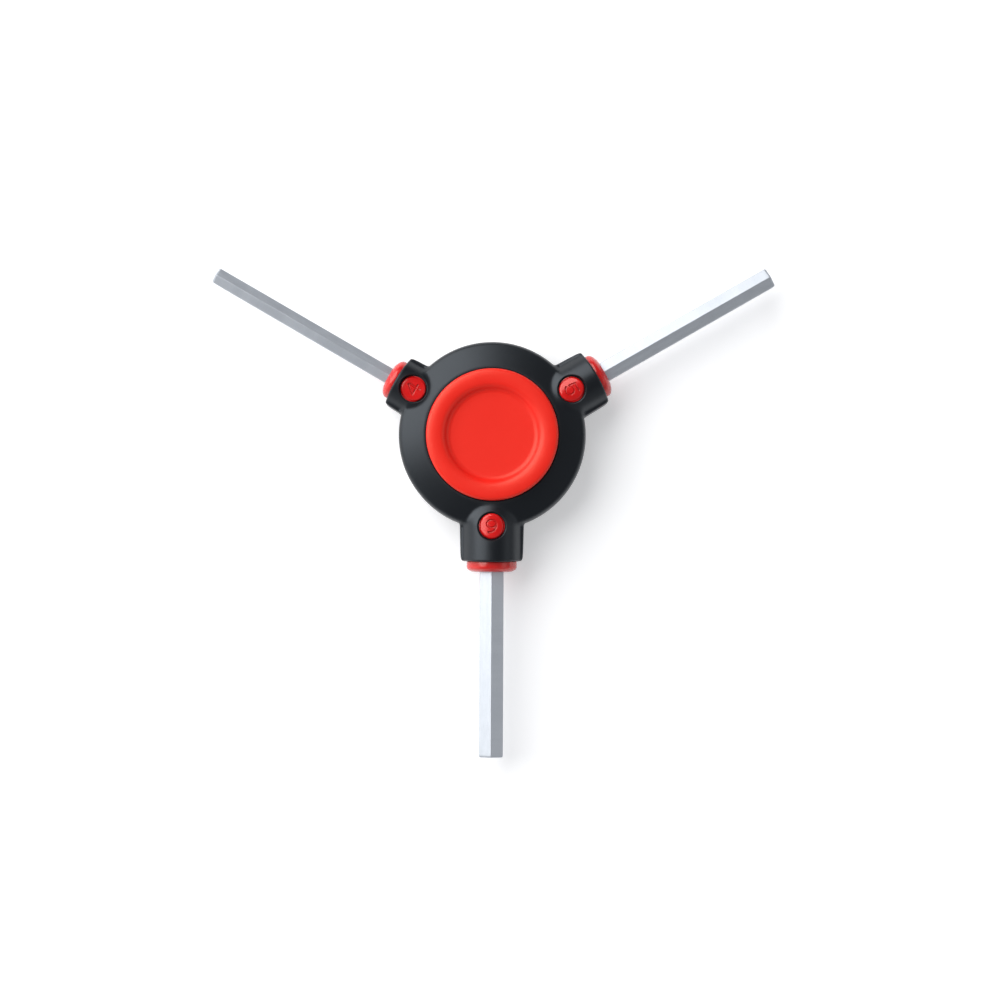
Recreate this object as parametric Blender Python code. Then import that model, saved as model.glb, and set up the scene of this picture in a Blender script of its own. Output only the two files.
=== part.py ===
"""Three-way hex wrench: a moulded hub that holds a 4, a 5 and a 6 mm hex bit at 120 degrees.

The frame: +Z leaves the numbered front face, +Y is opposite the 6 mm bit, and the origin is on the
hub's axis in the plane that the tool lies on. Heights inside the hub are measured from its
mid-plane, where the two shells meet. Along an arm, stations are distances from the hub's axis.
"""

import math
from dataclasses import dataclass

import bmesh
import bpy
from mathutils import Matrix

MM = 0.001

# Clearances between pieces
FIT = 0.3 * MM
SLIDE_FIT = 0.12 * MM
OVERRUN = 1.0 * MM
MERGE = 0.001 * MM

# Hub shells
RIM_WIDTH = 6.8 * MM
HUB_FALL = 1.45 * MM
RIM_FILLET = 1.4 * MM
RIM_TURN = 72
SLOPE_CROWN_SHARE = 0.15
SEAT_DEPTH = 0.35 * MM
SEAT_LIP = 0.4 * MM
SHELL_WEB = 0.6 * MM

# Sockets
SIDE_WALL = 2.2 * MM
PLUG_LEDGE = 0.5 * MM
SOCKET_DRAFT = 0.3 * MM
BARREL_INSET = 0.35 * MM
BARREL_END_FILLET = 0.4 * MM
SOCKET_CORNER = 1.0 * MM
FLANGE_DROP = 1.4 * MM
FLANGE_SETBACK = 0.25 * MM
LARGE_MOUTH_WALL = 5.35 * MM
MIDDLE_MOUTH_WALL = 3.65 * MM
SMALL_MOUTH_WALL = 1.35 * MM

# Caps
CAP_RADIUS = 16.5 * MM
CAP_PROUD = 0.6 * MM
CAP_EDGE = 1.1 * MM
DISH_LIP_WIDTH = 2.8 * MM
DISH_SLOPE_WIDTH = 3.8 * MM
DISH_DEPTH = 1.6 * MM

# Size plugs
POCKET_RADIUS = 3.5 * MM
POCKET_DEPTH = 2.0 * MM
PLUG_WALL = 2.75 * MM
PLUG_RECESS = 0.55 * MM
PLUG_STEM_WALL = 0.35 * MM
PLUG_FIT = 0.2 * MM

# Steel core
CORE_WALL = 1.8 * MM
CORE_DISC_COVER = 0.75 * MM
BORE_OVERLAP = 0.5 * MM
ARM_END_WALL = 1.0 * MM

# Set screws, M4
SET_SCREW_RADIUS = 1.95 * MM
SET_SCREW_CHAMFER = 0.3 * MM
SET_SCREW_KEY = 2.0 * MM
SET_SCREW_KEY_DEPTH = 1.2 * MM

# Hex bits
LARGE_HEX = 6.0 * MM
MIDDLE_HEX = 5.0 * MM
SMALL_HEX = 4.0 * MM
TIP_STATION = 80.2 * MM
TIP_CHAMFER = 0.5 * MM
TIP_INSET = 0.2 * MM
FLAT_HEIGHT_SHARE = 0.8

# Collars
COLLAR_LIP = 0.7 * MM
COLLAR_RIM = 2.5 * MM
LARGE_COLLAR_ROUND = 1.3 * MM
MIDDLE_COLLAR_ROUND = 2.0 * MM
SMALL_COLLAR_ROUND = 2.0 * MM
COLLAR_WIDTH_SHARE = 2.0

# Shell screws
SHANK_RADIUS = 1.25 * MM
BOSS_WALL = 1.2 * MM
HEAD_RADIUS = 2.1 * MM
HEAD_HEIGHT = 1.2 * MM
HEAD_SUNK = 0.2 * MM
HEAD_WALL = 1.0 * MM
PILOT_COVER = 1.45 * MM
HEAD_CROSS_WIDTH = 0.6 * MM
HEAD_CROSS_DEPTH = 0.6 * MM
HEAD_CROSS_SHARE = 0.6

# Facets and steps round each kind of turned shape
HUB_FACETS = 60
CAP_FACETS = 48
BARREL_FACETS = 28
BORE_FACETS = 24
PLUG_FACETS = 24
SCREW_FACETS = 16
ARC_STEPS = 4
END_STEPS = 3
DISH_STEPS = 8
SMOOTH_ANGLE = math.radians(35)
CLOSE_FACETED = ("front_shell", "rear_shell", "steel_core")


def corner_radius(across_flats):
    """The distance from a hexagon's middle to its corners."""
    return across_flats / math.sqrt(3)


@dataclass(frozen=True)
class Arm:
    """One arm of the tool: its bit, its direction, how far its socket runs on and its collar's round."""

    size: str
    across_flats: float
    direction: float
    mouth_wall: float
    collar_round: float

    @property
    def arm_radius(self):
        return corner_radius(self.across_flats) + CORE_WALL

    @property
    def bore_radius(self):
        return self.arm_radius + FIT

    @property
    def crest(self):
        return self.bore_radius + PLUG_LEDGE + POCKET_DEPTH

    @property
    def pocket_floor(self):
        return self.crest - POCKET_DEPTH

    @property
    def half_width(self):
        return self.bore_radius + SIDE_WALL

    @property
    def barrel_radius(self):
        return self.half_width - BARREL_INSET

    @property
    def barrel_axis(self):
        return self.crest - self.barrel_radius

    @property
    def mouth(self):
        return PLUG_STATION + POCKET_RADIUS + self.mouth_wall

    @property
    def bore_flats(self):
        return self.across_flats + SLIDE_FIT + SLIDE_FIT

    @property
    def flat_height(self):
        return FLAT_HEIGHT_SHARE * corner_radius(self.across_flats)


PLUG_STATION = CAP_RADIUS + PLUG_WALL + POCKET_RADIUS

ARMS = (
    Arm("6mm", LARGE_HEX, math.radians(270), LARGE_MOUTH_WALL, LARGE_COLLAR_ROUND),
    Arm("5mm", MIDDLE_HEX, math.radians(30), MIDDLE_MOUTH_WALL, MIDDLE_COLLAR_ROUND),
    Arm("4mm", SMALL_HEX, math.radians(150), SMALL_MOUTH_WALL, SMALL_COLLAR_ROUND),
)
SHELL_SCREW_DIRECTIONS = tuple(arm.direction + math.pi for arm in ARMS)

# Heights from the mid-plane
PARTING = FIT / 2
LARGEST = max(ARMS, key=lambda arm: arm.across_flats)
SEAT_FLOOR = LARGEST.bore_radius + SHELL_WEB
HUB_CROWN = SEAT_FLOOR + SEAT_DEPTH
HUB_SHOULDER = HUB_CROWN - HUB_FALL
CAP_TOP = LARGEST.crest + CAP_PROUD
CORE_HALF = corner_radius(LARGEST.across_flats) + CORE_DISC_COVER
MID_PLANE = CAP_TOP
HEAD_SEAT = SEAT_FLOOR - HEAD_SUNK - HEAD_HEIGHT - SLIDE_FIT
SHANK_REACH = SEAT_FLOOR - PILOT_COVER - FIT

# Stations along an arm and radii round the hub's axis
HUB_RADIUS = CAP_RADIUS + RIM_WIDTH
SEAT_RADIUS = CAP_RADIUS + FIT
SHANK_HOLE = SHANK_RADIUS + SLIDE_FIT
SHELL_SCREW_CIRCLE = CAP_RADIUS - HEAD_WALL - HEAD_RADIUS
CORE_RADIUS = SHELL_SCREW_CIRCLE - SHANK_HOLE - BOSS_WALL - FIT
BORE_START = CORE_RADIUS - BORE_OVERLAP
BIT_ROOT = BORE_START + FIT
SCREW_HOLE = SET_SCREW_RADIUS + SLIDE_FIT
ARM_END = PLUG_STATION + SCREW_HOLE + ARM_END_WALL
PLUG_RADIUS = POCKET_RADIUS - PLUG_FIT
STEM_RADIUS = SET_SCREW_RADIUS + PLUG_STEM_WALL

MATERIALS = {
    "black_nylon": ((0.014, 0.015, 0.018), 0.0, 0.48),
    "red_elastomer": ((0.80, 0.045, 0.025), 0.0, 0.45),
    "red_plastic": ((0.72, 0.030, 0.018), 0.0, 0.38),
    "plated_steel": ((0.62, 0.64, 0.66), 1.0, 0.30),
    "machined_steel": ((0.42, 0.43, 0.44), 1.0, 0.42),
    "blackened_steel": ((0.05, 0.05, 0.055), 1.0, 0.45),
}


def clear_scene():
    """Removes every object that the file starts with."""
    for thing in list(bpy.data.objects):
        bpy.data.objects.remove(thing)


def material(name):
    """The named material, made the first time that it is asked for."""
    found = bpy.data.materials.get(name)
    if found:
        return found
    colour, metallic, roughness = MATERIALS[name]
    made = bpy.data.materials.new(name)
    made.use_nodes = True
    surface = made.node_tree.nodes["Principled BSDF"]
    surface.inputs["Base Color"].default_value = (*colour, 1.0)
    surface.inputs["Metallic"].default_value = metallic
    surface.inputs["Roughness"].default_value = roughness
    return made


def finish(shape, name, finish_name=None, parent=None, place=(0, 0, 0)):
    """Turns a bmesh into an object: a piece if it has a finish, and otherwise a cutter or a helper."""
    bmesh.ops.recalc_face_normals(shape, faces=shape.faces)
    mesh = bpy.data.meshes.new(name)
    shape.to_mesh(mesh)
    shape.free()
    mesh.shade_smooth()
    mesh.set_sharp_from_angle(angle=SMOOTH_ANGLE)
    made = bpy.data.objects.new(name, mesh)
    bpy.context.collection.objects.link(made)
    made.parent = parent
    made.location = place
    if finish_name:
        mesh.materials.append(material(finish_name))
    else:
        made.hide_render = True
        made.display_type = "WIRE"
    return made


def turned(profile, facets, axis="Z"):
    """A solid of revolution from (radius, place along the axis) points that start and end on the axis."""
    shape = bmesh.new()
    corners = [shape.verts.new((radius, 0, along)) for radius, along in profile]
    edges = [shape.edges.new(pair) for pair in zip(corners, corners[1:])]
    bmesh.ops.spin(
        shape,
        geom=corners + edges,
        cent=(0, 0, 0),
        axis=(0, 0, 1),
        dvec=(0, 0, 0),
        angle=math.tau,
        steps=facets,
        use_merge=True,
        use_duplicate=False,
    )
    bmesh.ops.remove_doubles(shape, verts=shape.verts, dist=MERGE)
    if axis == "X":
        bmesh.ops.transform(shape, matrix=Matrix.Rotation(math.pi / 2, 4, "Y"), verts=shape.verts)
    return shape


def cylinder(radius, low, high, facets, axis="Z"):
    """A plain cylinder between two places on its axis."""
    return turned([(0, low), (radius, low), (radius, high), (0, high)], facets, axis)


def prism(outline, low, high):
    """An outline in the XY plane, extruded along Z."""
    shape = bmesh.new()
    face = shape.faces.new([shape.verts.new((x, y, low)) for x, y in outline])
    sides = bmesh.ops.extrude_face_region(shape, geom=[face])
    raised = [part for part in sides["geom"] if isinstance(part, bmesh.types.BMVert)]
    bmesh.ops.translate(shape, vec=(0, 0, high - low), verts=raised)
    return shape


def bridged(shape, rings):
    """Closes rings of as many points each into one solid, from the first ring to the last."""
    shape.faces.new(rings[0])
    shape.faces.new(reversed(rings[-1]))
    for ring, following in zip(rings, rings[1:]):
        for i, corner in enumerate(ring):
            after = (i + 1) % len(ring)
            shape.faces.new((corner, ring[after], following[after], following[i]))
    return shape


def lofted(levels):
    """A solid through (outline, height) levels, one above the other."""
    shape = bmesh.new()
    rings = [[shape.verts.new((x, y, height)) for x, y in outline] for outline, height in levels]
    return bridged(shape, rings)


def hexagon_ring(shape, across_flats, station):
    """Six corners across the X axis, one of them straight up."""
    radius = corner_radius(across_flats)
    turns = [math.tau * turn / 6 for turn in range(6)]
    return [shape.verts.new((station, radius * math.sin(a), radius * math.cos(a))) for a in turns]


def hexagon_bar(stations):
    """A hexagonal bar along X through (across flats, station) rings, closed at both ends."""
    shape = bmesh.new()
    return bridged(shape, [hexagon_ring(shape, flats, station) for flats, station in stations])


def box(low, high):
    """A box between two opposite corners."""
    outline = [(low[0], low[1]), (high[0], low[1]), (high[0], high[1]), (low[0], high[1])]
    return prism(outline, low[2], high[2])


def mirrored(shape, side):
    """The shape as built for the front (side 1), or turned over in the mid-plane for the rear (-1)."""
    bmesh.ops.scale(shape, vec=(1, 1, side), verts=shape.verts)
    return shape


def arc(centre, radii, first, last, steps=ARC_STEPS):
    """Points on an arc of an ellipse, with angles in degrees from its first axis."""
    turns = [math.radians(first + (last - first) * i / steps) for i in range(steps + 1)]
    return [(centre[0] + radii[0] * math.cos(a), centre[1] + radii[1] * math.sin(a)) for a in turns]


def boolean(target, other, operation):
    """Adds a Boolean to a piece, exact but where the piece has many facets close together."""
    step = target.modifiers.new(f"{operation.lower()} {other.name}", "BOOLEAN")
    step.operation = operation
    step.solver = "MANIFOLD" if target.name in CLOSE_FACETED else "EXACT"
    step.object = other


def arm_frames():
    """An empty for each arm, on the hub's axis in the mid-plane, with +X along the arm."""
    frames = {}
    for arm in ARMS:
        frame = bpy.data.objects.new(f"arm_frame_{arm.size}", None)
        bpy.context.collection.objects.link(frame)
        frame.location = (0, 0, MID_PLANE)
        frame.rotation_euler = (0, 0, arm.direction)
        frames[arm.size] = frame
    return frames


def hub_half(side, name):
    """The round part of a shell, solid, with its filleted rim and the slope up to the cap."""
    rise = RIM_FILLET * math.sin(math.radians(RIM_TURN))
    centre = (HUB_RADIUS - RIM_FILLET, HUB_SHOULDER - rise)
    rim = arc(centre, (RIM_FILLET, RIM_FILLET), 0, RIM_TURN)
    crown_radius = SEAT_RADIUS + SEAT_LIP
    slope_width = rim[-1][0] - crown_radius
    slope = []
    for step in range(1, ARC_STEPS + 1):
        share = 1 - step / ARC_STEPS
        fall_share = share - SLOPE_CROWN_SHARE * (share - share**2)
        slope.append((crown_radius + share * slope_width, HUB_CROWN - HUB_FALL * fall_share))
    profile = [(0, -OVERRUN), (HUB_RADIUS, -OVERRUN)] + rim + slope + [(0, HUB_CROWN)]
    shape = mirrored(turned(profile, HUB_FACETS), side)
    return finish(shape, name, "black_nylon", place=(0, 0, MID_PLANE))


def flange_outline(arm, inset):
    """A socket's outline from above, drafted towards its mouth, drawn in by an inset."""
    inner, outer = PLUG_STATION - POCKET_RADIUS, arm.mouth - FLANGE_SETBACK - inset
    wide, narrow = arm.half_width + SOCKET_DRAFT - inset, arm.half_width - inset
    corner = SOCKET_CORNER - inset
    half = arc((outer - corner, narrow - corner), (corner, corner), 0, 90) + [(inner, wide)]
    return [(x, -y) for x, y in reversed(half)] + half


def socket_flange(arm, side, frame):
    """The flat-sided lower part of a socket, with the same rounded rim as the hub's."""
    top = HUB_SHOULDER - FLANGE_DROP
    foot = top - RIM_FILLET * math.sin(math.radians(RIM_TURN))
    rim = arc((0, foot), (RIM_FILLET, RIM_FILLET), 0, RIM_TURN)
    levels = [(0, -OVERRUN)] + [(RIM_FILLET - across, up) for across, up in rim]
    shape = lofted([(flange_outline(arm, inset), height) for inset, height in levels])
    return finish(mirrored(shape, side), f"flange_{arm.size}_{side}", parent=frame)


def socket_barrel(arm, side, frame):
    """The raised round back of a socket, with a domed inner end round the plug."""
    radius, fillet = arm.barrel_radius, BARREL_END_FILLET
    dome = arc((PLUG_STATION, 0), (radius, radius), 180, 90, 2 * ARC_STEPS)
    end = arc((arm.mouth - fillet, radius - fillet), (fillet, fillet), 90, 0, END_STEPS)
    profile = [(across, along) for along, across in dome + end] + [(0, arm.mouth)]
    shape = turned(profile, BARREL_FACETS, "X")
    bmesh.ops.translate(shape, vec=(0, 0, side * arm.barrel_axis), verts=shape.verts)
    return finish(shape, f"barrel_{arm.size}_{side}", parent=frame)


def cavity_cutters(side, frames):
    """What the shells leave free: the core's disc, its arms, the other half and the cap's seat."""
    reach = TIP_STATION
    half_space = box((-reach, -reach, -reach), (reach, reach, PARTING))
    disc = cylinder(CORE_RADIUS + FIT, -CORE_HALF, CORE_HALF + FIT, BORE_FACETS)
    seat = cylinder(SEAT_RADIUS, SEAT_FLOOR, CAP_TOP + OVERRUN, CAP_FACETS)
    shapes = {"other_half": half_space, "core_disc": disc, "cap_seat": seat}
    middle = (0, 0, MID_PLANE)
    cutters = [finish(mirrored(shape, side), f"{name}_{side}", place=middle)
               for name, shape in shapes.items()]
    for arm in ARMS:
        shape = cylinder(arm.bore_radius, 0, arm.mouth + OVERRUN, BORE_FACETS, "X")
        cutters.append(finish(shape, f"arm_bore_{arm.size}_{side}", parent=frames[arm.size]))
    return cutters


def shell_half(side, name, frames):
    """One moulded half of the hub, with its sockets, opened for the core and the cap."""
    shell = hub_half(side, name)
    for arm in ARMS:
        boolean(shell, socket_flange(arm, side, frames[arm.size]), "UNION")
        boolean(shell, socket_barrel(arm, side, frames[arm.size]), "UNION")
    for cutter in cavity_cutters(side, frames):
        boolean(shell, cutter, "DIFFERENCE")
    return shell


def on_circle(radius, direction):
    """A place in the mid-plane, at a radius and a direction round the hub's axis."""
    return (radius * math.cos(direction), radius * math.sin(direction), MID_PLANE)


def front_shell(frames):
    """The numbered half, with a pocket and an access hole over each set screw."""
    shell = shell_half(1, "front_shell", frames)
    for arm in ARMS:
        pocket = cylinder(POCKET_RADIUS, arm.pocket_floor, CAP_TOP + OVERRUN, PLUG_FACETS)
        access = cylinder(STEM_RADIUS + PLUG_FIT, 0, CAP_TOP + OVERRUN, SCREW_FACETS)
        for kind, shape in (("pocket", pocket), ("access", access)):
            place = (PLUG_STATION, 0, 0)
            cutter = finish(shape, f"plug_{kind}_{arm.size}", parent=frames[arm.size], place=place)
            boolean(shell, cutter, "DIFFERENCE")
    for number, direction in enumerate(SHELL_SCREW_DIRECTIONS, 1):
        shape = cylinder(SHANK_HOLE, -OVERRUN, SHANK_REACH + FIT, SCREW_FACETS)
        place = on_circle(SHELL_SCREW_CIRCLE, direction)
        boolean(shell, finish(shape, f"pilot_hole_{number}", place=place), "DIFFERENCE")
    return shell


def rear_shell(frames):
    """The half that faces down, with counterbored holes for the shell screws."""
    shell = shell_half(-1, "rear_shell", frames)
    for number, direction in enumerate(SHELL_SCREW_DIRECTIONS, 1):
        profile = [
            (0, OVERRUN),
            (SHANK_HOLE, OVERRUN),
            (SHANK_HOLE, -HEAD_SEAT),
            (HEAD_RADIUS + SLIDE_FIT, -HEAD_SEAT),
            (HEAD_RADIUS + SLIDE_FIT, -CAP_TOP),
            (0, -CAP_TOP),
        ]
        place = on_circle(SHELL_SCREW_CIRCLE, direction)
        cutter = finish(turned(profile, SCREW_FACETS), f"screw_hole_{number}", place=place)
        boolean(shell, cutter, "DIFFERENCE")
    return shell


def steel_core(frames):
    """The disc and its three arms, bored for the bits and drilled for the set screws."""
    disc = cylinder(CORE_RADIUS, -CORE_HALF, CORE_HALF, BORE_FACETS)
    core = finish(disc, "steel_core", "machined_steel", place=(0, 0, MID_PLANE))
    for arm in ARMS:
        bar = cylinder(arm.arm_radius, 0, ARM_END, BORE_FACETS, "X")
        boolean(core, finish(bar, f"core_arm_{arm.size}", parent=frames[arm.size]), "UNION")
    for arm in ARMS:
        bore = hexagon_bar([(arm.bore_flats, BORE_START), (arm.bore_flats, ARM_END + OVERRUN)])
        boolean(core, finish(bore, f"core_bore_{arm.size}", parent=frames[arm.size]), "DIFFERENCE")
        hole = cylinder(SCREW_HOLE, 0, arm.arm_radius + OVERRUN, SCREW_FACETS)
        place = (PLUG_STATION, 0, 0)
        cutter = finish(hole, f"screw_hole_{arm.size}", parent=frames[arm.size], place=place)
        boolean(core, cutter, "DIFFERENCE")
    return core


def front_cap():
    """The red disc in the front, with a round edge and a shallow dish for the thumb."""
    lip = CAP_RADIUS - DISH_LIP_WIDTH
    profile = [(0, SEAT_FLOOR + FIT), (CAP_RADIUS, SEAT_FLOOR + FIT)]
    profile += arc((CAP_RADIUS - CAP_EDGE, CAP_TOP - CAP_EDGE), (CAP_EDGE, CAP_EDGE), 0, 90)
    for step in range(DISH_STEPS + 1):
        share = step / DISH_STEPS
        depth_share = (1 - math.cos(math.pi * share)) / 2
        profile.append((lip - share * DISH_SLOPE_WIDTH, CAP_TOP - depth_share * DISH_DEPTH))
    profile += [(0, CAP_TOP - DISH_DEPTH)]
    shape = turned(profile, CAP_FACETS)
    return finish(shape, "front_cap", "red_elastomer", place=(0, 0, MID_PLANE))


def rear_cap():
    """The flat disc that the tool lies on."""
    profile = [(0, SEAT_FLOOR + FIT), (CAP_RADIUS, SEAT_FLOOR + FIT)]
    profile += arc((CAP_RADIUS - CAP_EDGE, CAP_TOP - CAP_EDGE), (CAP_EDGE, CAP_EDGE), 0, 90)
    profile += [(0, CAP_TOP)]
    shape = mirrored(turned(profile, CAP_FACETS), -1)
    return finish(shape, "rear_cap", "red_elastomer", place=(0, 0, MID_PLANE))


def hex_bit(arm, frame):
    """A hex bar with chamfered ends, and a flat on its upper ridge for the set screw."""
    length = TIP_STATION - BIT_ROOT
    small = arm.across_flats - TIP_INSET - TIP_INSET
    rings = [
        (small, 0),
        (arm.across_flats, TIP_INSET),
        (arm.across_flats, length - TIP_CHAMFER),
        (small, length),
    ]
    bit = finish(hexagon_bar(rings), f"hex_bit_{arm.size}", "plated_steel", frame, (BIT_ROOT, 0, 0))
    flat_end = PLUG_STATION + SCREW_HOLE + FIT
    low = (BORE_START - OVERRUN, -arm.across_flats, arm.flat_height)
    high = (flat_end, arm.across_flats, arm.across_flats)
    boolean(bit, finish(box(low, high), f"bit_flat_{arm.size}", parent=frame), "DIFFERENCE")
    return bit


def set_screw(arm, frame):
    """A short grub screw from the bit's flat to the top of the core's arm, with a hex socket."""
    low, high = arm.flat_height + SLIDE_FIT, arm.arm_radius
    narrow = SET_SCREW_RADIUS - SET_SCREW_CHAMFER
    profile = [
        (0, low),
        (narrow, low),
        (SET_SCREW_RADIUS, low + SET_SCREW_CHAMFER),
        (SET_SCREW_RADIUS, high - SET_SCREW_CHAMFER),
        (narrow, high),
        (0, high),
    ]
    place = (PLUG_STATION, 0, 0)
    shape = turned(profile, SCREW_FACETS)
    screw = finish(shape, f"set_screw_{arm.size}", "blackened_steel", frame, place)
    key = hexagon_bar([(SET_SCREW_KEY, -SET_SCREW_KEY_DEPTH), (SET_SCREW_KEY, OVERRUN)])
    bmesh.ops.transform(key, matrix=Matrix.Rotation(-math.pi / 2, 4, "Y"), verts=key.verts)
    bmesh.ops.translate(key, vec=(0, 0, high), verts=key.verts)
    cutter = finish(key, f"key_socket_{arm.size}", parent=frame, place=place)
    boolean(screw, cutter, "DIFFERENCE")
    return screw


def size_plug(arm, frame):
    """A plug in its pocket, its top as round as the socket's back, with a stem down to the set screw."""
    ledge = arm.pocket_floor + FIT
    profile = [
        (0, arm.bore_radius),
        (STEM_RADIUS, arm.bore_radius),
        (STEM_RADIUS, ledge),
        (PLUG_RADIUS, ledge),
        (PLUG_RADIUS, arm.crest),
        (0, arm.crest),
    ]
    shape = turned(profile, PLUG_FACETS)
    plug = finish(shape, f"size_plug_{arm.size}", "red_plastic", frame, (PLUG_STATION, 0, 0))
    back = cylinder(arm.barrel_radius, -POCKET_RADIUS, POCKET_RADIUS, BARREL_FACETS, "X")
    place = (PLUG_STATION, 0, arm.barrel_axis - PLUG_RECESS)
    boolean(plug, finish(back, f"plug_back_{arm.size}", parent=frame, place=place), "INTERSECT")
    return plug


def collar(arm, frame):
    """A bush in the socket's mouth: a stem up to the core's arm and a round lip outside."""
    lip_radius = arm.bore_radius + COLLAR_LIP
    outer = arm.mouth + COLLAR_RIM
    profile = [
        (0, ARM_END + FIT),
        (arm.arm_radius, ARM_END + FIT),
        (arm.arm_radius, arm.mouth + FIT),
        (lip_radius, arm.mouth + FIT),
    ]
    round_width = COLLAR_WIDTH_SHARE * arm.collar_round
    round_centre = (outer - arm.collar_round, lip_radius - round_width)
    rounding = arc(round_centre, (arm.collar_round, round_width), 90, 0)
    profile += [(across, along) for along, across in rounding] + [(0, outer)]
    shape = turned(profile, BORE_FACETS, "X")
    bush = finish(shape, f"collar_{arm.size}", "red_plastic", frame)
    hole = hexagon_bar([(arm.bore_flats, ARM_END), (arm.bore_flats, outer + OVERRUN)])
    boolean(bush, finish(hole, f"collar_hole_{arm.size}", parent=frame), "DIFFERENCE")
    return bush


def shell_screw(number, direction):
    """A self-tapping screw up through the rear shell, with a flat head and a cross recess."""
    seat = HEAD_SEAT + SLIDE_FIT
    top = seat + HEAD_HEIGHT
    profile = [
        (0, -top),
        (HEAD_RADIUS, -top),
        (HEAD_RADIUS, -seat),
        (SHANK_RADIUS, -seat),
        (SHANK_RADIUS, SHANK_REACH - SHANK_RADIUS),
        (0, SHANK_REACH),
    ]
    place = on_circle(SHELL_SCREW_CIRCLE, direction)
    shape = turned(list(reversed(profile)), SCREW_FACETS)
    screw = finish(shape, f"shell_screw_{number}", "blackened_steel", place=place)
    half_width, half_length = HEAD_CROSS_WIDTH / 2, HEAD_CROSS_SHARE * HEAD_RADIUS
    for label, x, y in (("long", half_length, half_width), ("wide", half_width, half_length)):
        slot = box((-x, -y, -top - OVERRUN), (x, y, HEAD_CROSS_DEPTH - top))
        cutter = finish(slot, f"cross_{label}_{number}", place=place)
        boolean(screw, cutter, "DIFFERENCE")
    return screw


def main():
    """Builds the whole tool."""
    clear_scene()
    frames = arm_frames()
    front_shell(frames)
    rear_shell(frames)
    steel_core(frames)
    front_cap()
    rear_cap()
    for arm in ARMS:
        frame = frames[arm.size]
        hex_bit(arm, frame)
        set_screw(arm, frame)
        size_plug(arm, frame)
        collar(arm, frame)
    for number, direction in enumerate(SHELL_SCREW_DIRECTIONS, 1):
        shell_screw(number, direction)


main()
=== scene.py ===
"""Looks of the three-way hex wrench: moulded hub, caps, size plugs, collars, screws and plated bits.

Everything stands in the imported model's frame: +Z leaves the numbered face, +Y is opposite the 6 mm
bit and the floor is z = 0. Heights inside the hub are measured from its mid-plane, and stations
along an arm from the hub's axis. Lengths are in metres.
"""

from __future__ import annotations

import logging
import math
from collections.abc import Callable, Iterable, Sequence
from dataclasses import dataclass
from enum import Enum

import bmesh
import bpy
import numpy as np
from mathutils import Matrix, Vector


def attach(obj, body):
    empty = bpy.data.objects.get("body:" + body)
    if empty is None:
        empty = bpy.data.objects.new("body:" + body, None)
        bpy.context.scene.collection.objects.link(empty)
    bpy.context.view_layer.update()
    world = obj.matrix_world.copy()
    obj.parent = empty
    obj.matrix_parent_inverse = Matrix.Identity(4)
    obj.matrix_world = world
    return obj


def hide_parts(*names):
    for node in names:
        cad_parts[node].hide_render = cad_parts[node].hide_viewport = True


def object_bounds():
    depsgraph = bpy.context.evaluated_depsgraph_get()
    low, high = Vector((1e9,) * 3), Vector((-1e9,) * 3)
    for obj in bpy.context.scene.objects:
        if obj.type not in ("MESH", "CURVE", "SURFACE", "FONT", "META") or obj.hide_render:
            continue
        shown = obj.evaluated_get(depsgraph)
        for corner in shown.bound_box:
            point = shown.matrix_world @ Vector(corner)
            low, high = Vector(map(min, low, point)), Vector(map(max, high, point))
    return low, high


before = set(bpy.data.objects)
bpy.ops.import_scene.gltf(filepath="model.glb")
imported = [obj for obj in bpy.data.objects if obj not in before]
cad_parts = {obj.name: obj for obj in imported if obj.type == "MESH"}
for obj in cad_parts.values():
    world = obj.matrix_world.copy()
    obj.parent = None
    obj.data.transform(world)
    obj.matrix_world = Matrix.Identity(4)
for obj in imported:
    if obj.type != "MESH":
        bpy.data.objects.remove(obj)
CAD_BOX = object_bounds()

MM = 0.001
MID_PLANE = (CAD_BOX[0].z + CAD_BOX[1].z) / 2
# The play round a piece that is put in, the play round a bit, and how far a cutter passes its cut.
FIT = 0.3 * MM
SLIDE_FIT = 0.12 * MM
OVERRUN = 1.0 * MM
# Corners closer than the first are one, and edges that turn by more than the second stay sharp.
WELD = 0.002 * MM
SMOOTH_ANGLE = math.radians(32)
# Keeps a divisor above zero.
TINY = 1e-12

Colour = tuple[float, float, float]
Point = tuple[float, float]
log = logging.getLogger("y_wrench")


class Side(Enum):
    """The half of the hub that a piece belongs to, as the sign of its heights."""

    FRONT = 1
    REAR = -1


# Node graphs


def operator(operation: str, reflected: bool = False) -> Callable[[Value, Value | float], Value]:
    """Makes an arithmetic method that adds one Math node.

    Args:
        operation: The Math node's operation.
        reflected: True where the other operand stands first.

    Returns:
        The method.
    """

    def apply(self: Value, other: Value | float) -> Value:
        """Adds the Math node."""
        return self.graph.math(operation, *((other, self) if reflected else (self, other)))

    return apply


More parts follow.
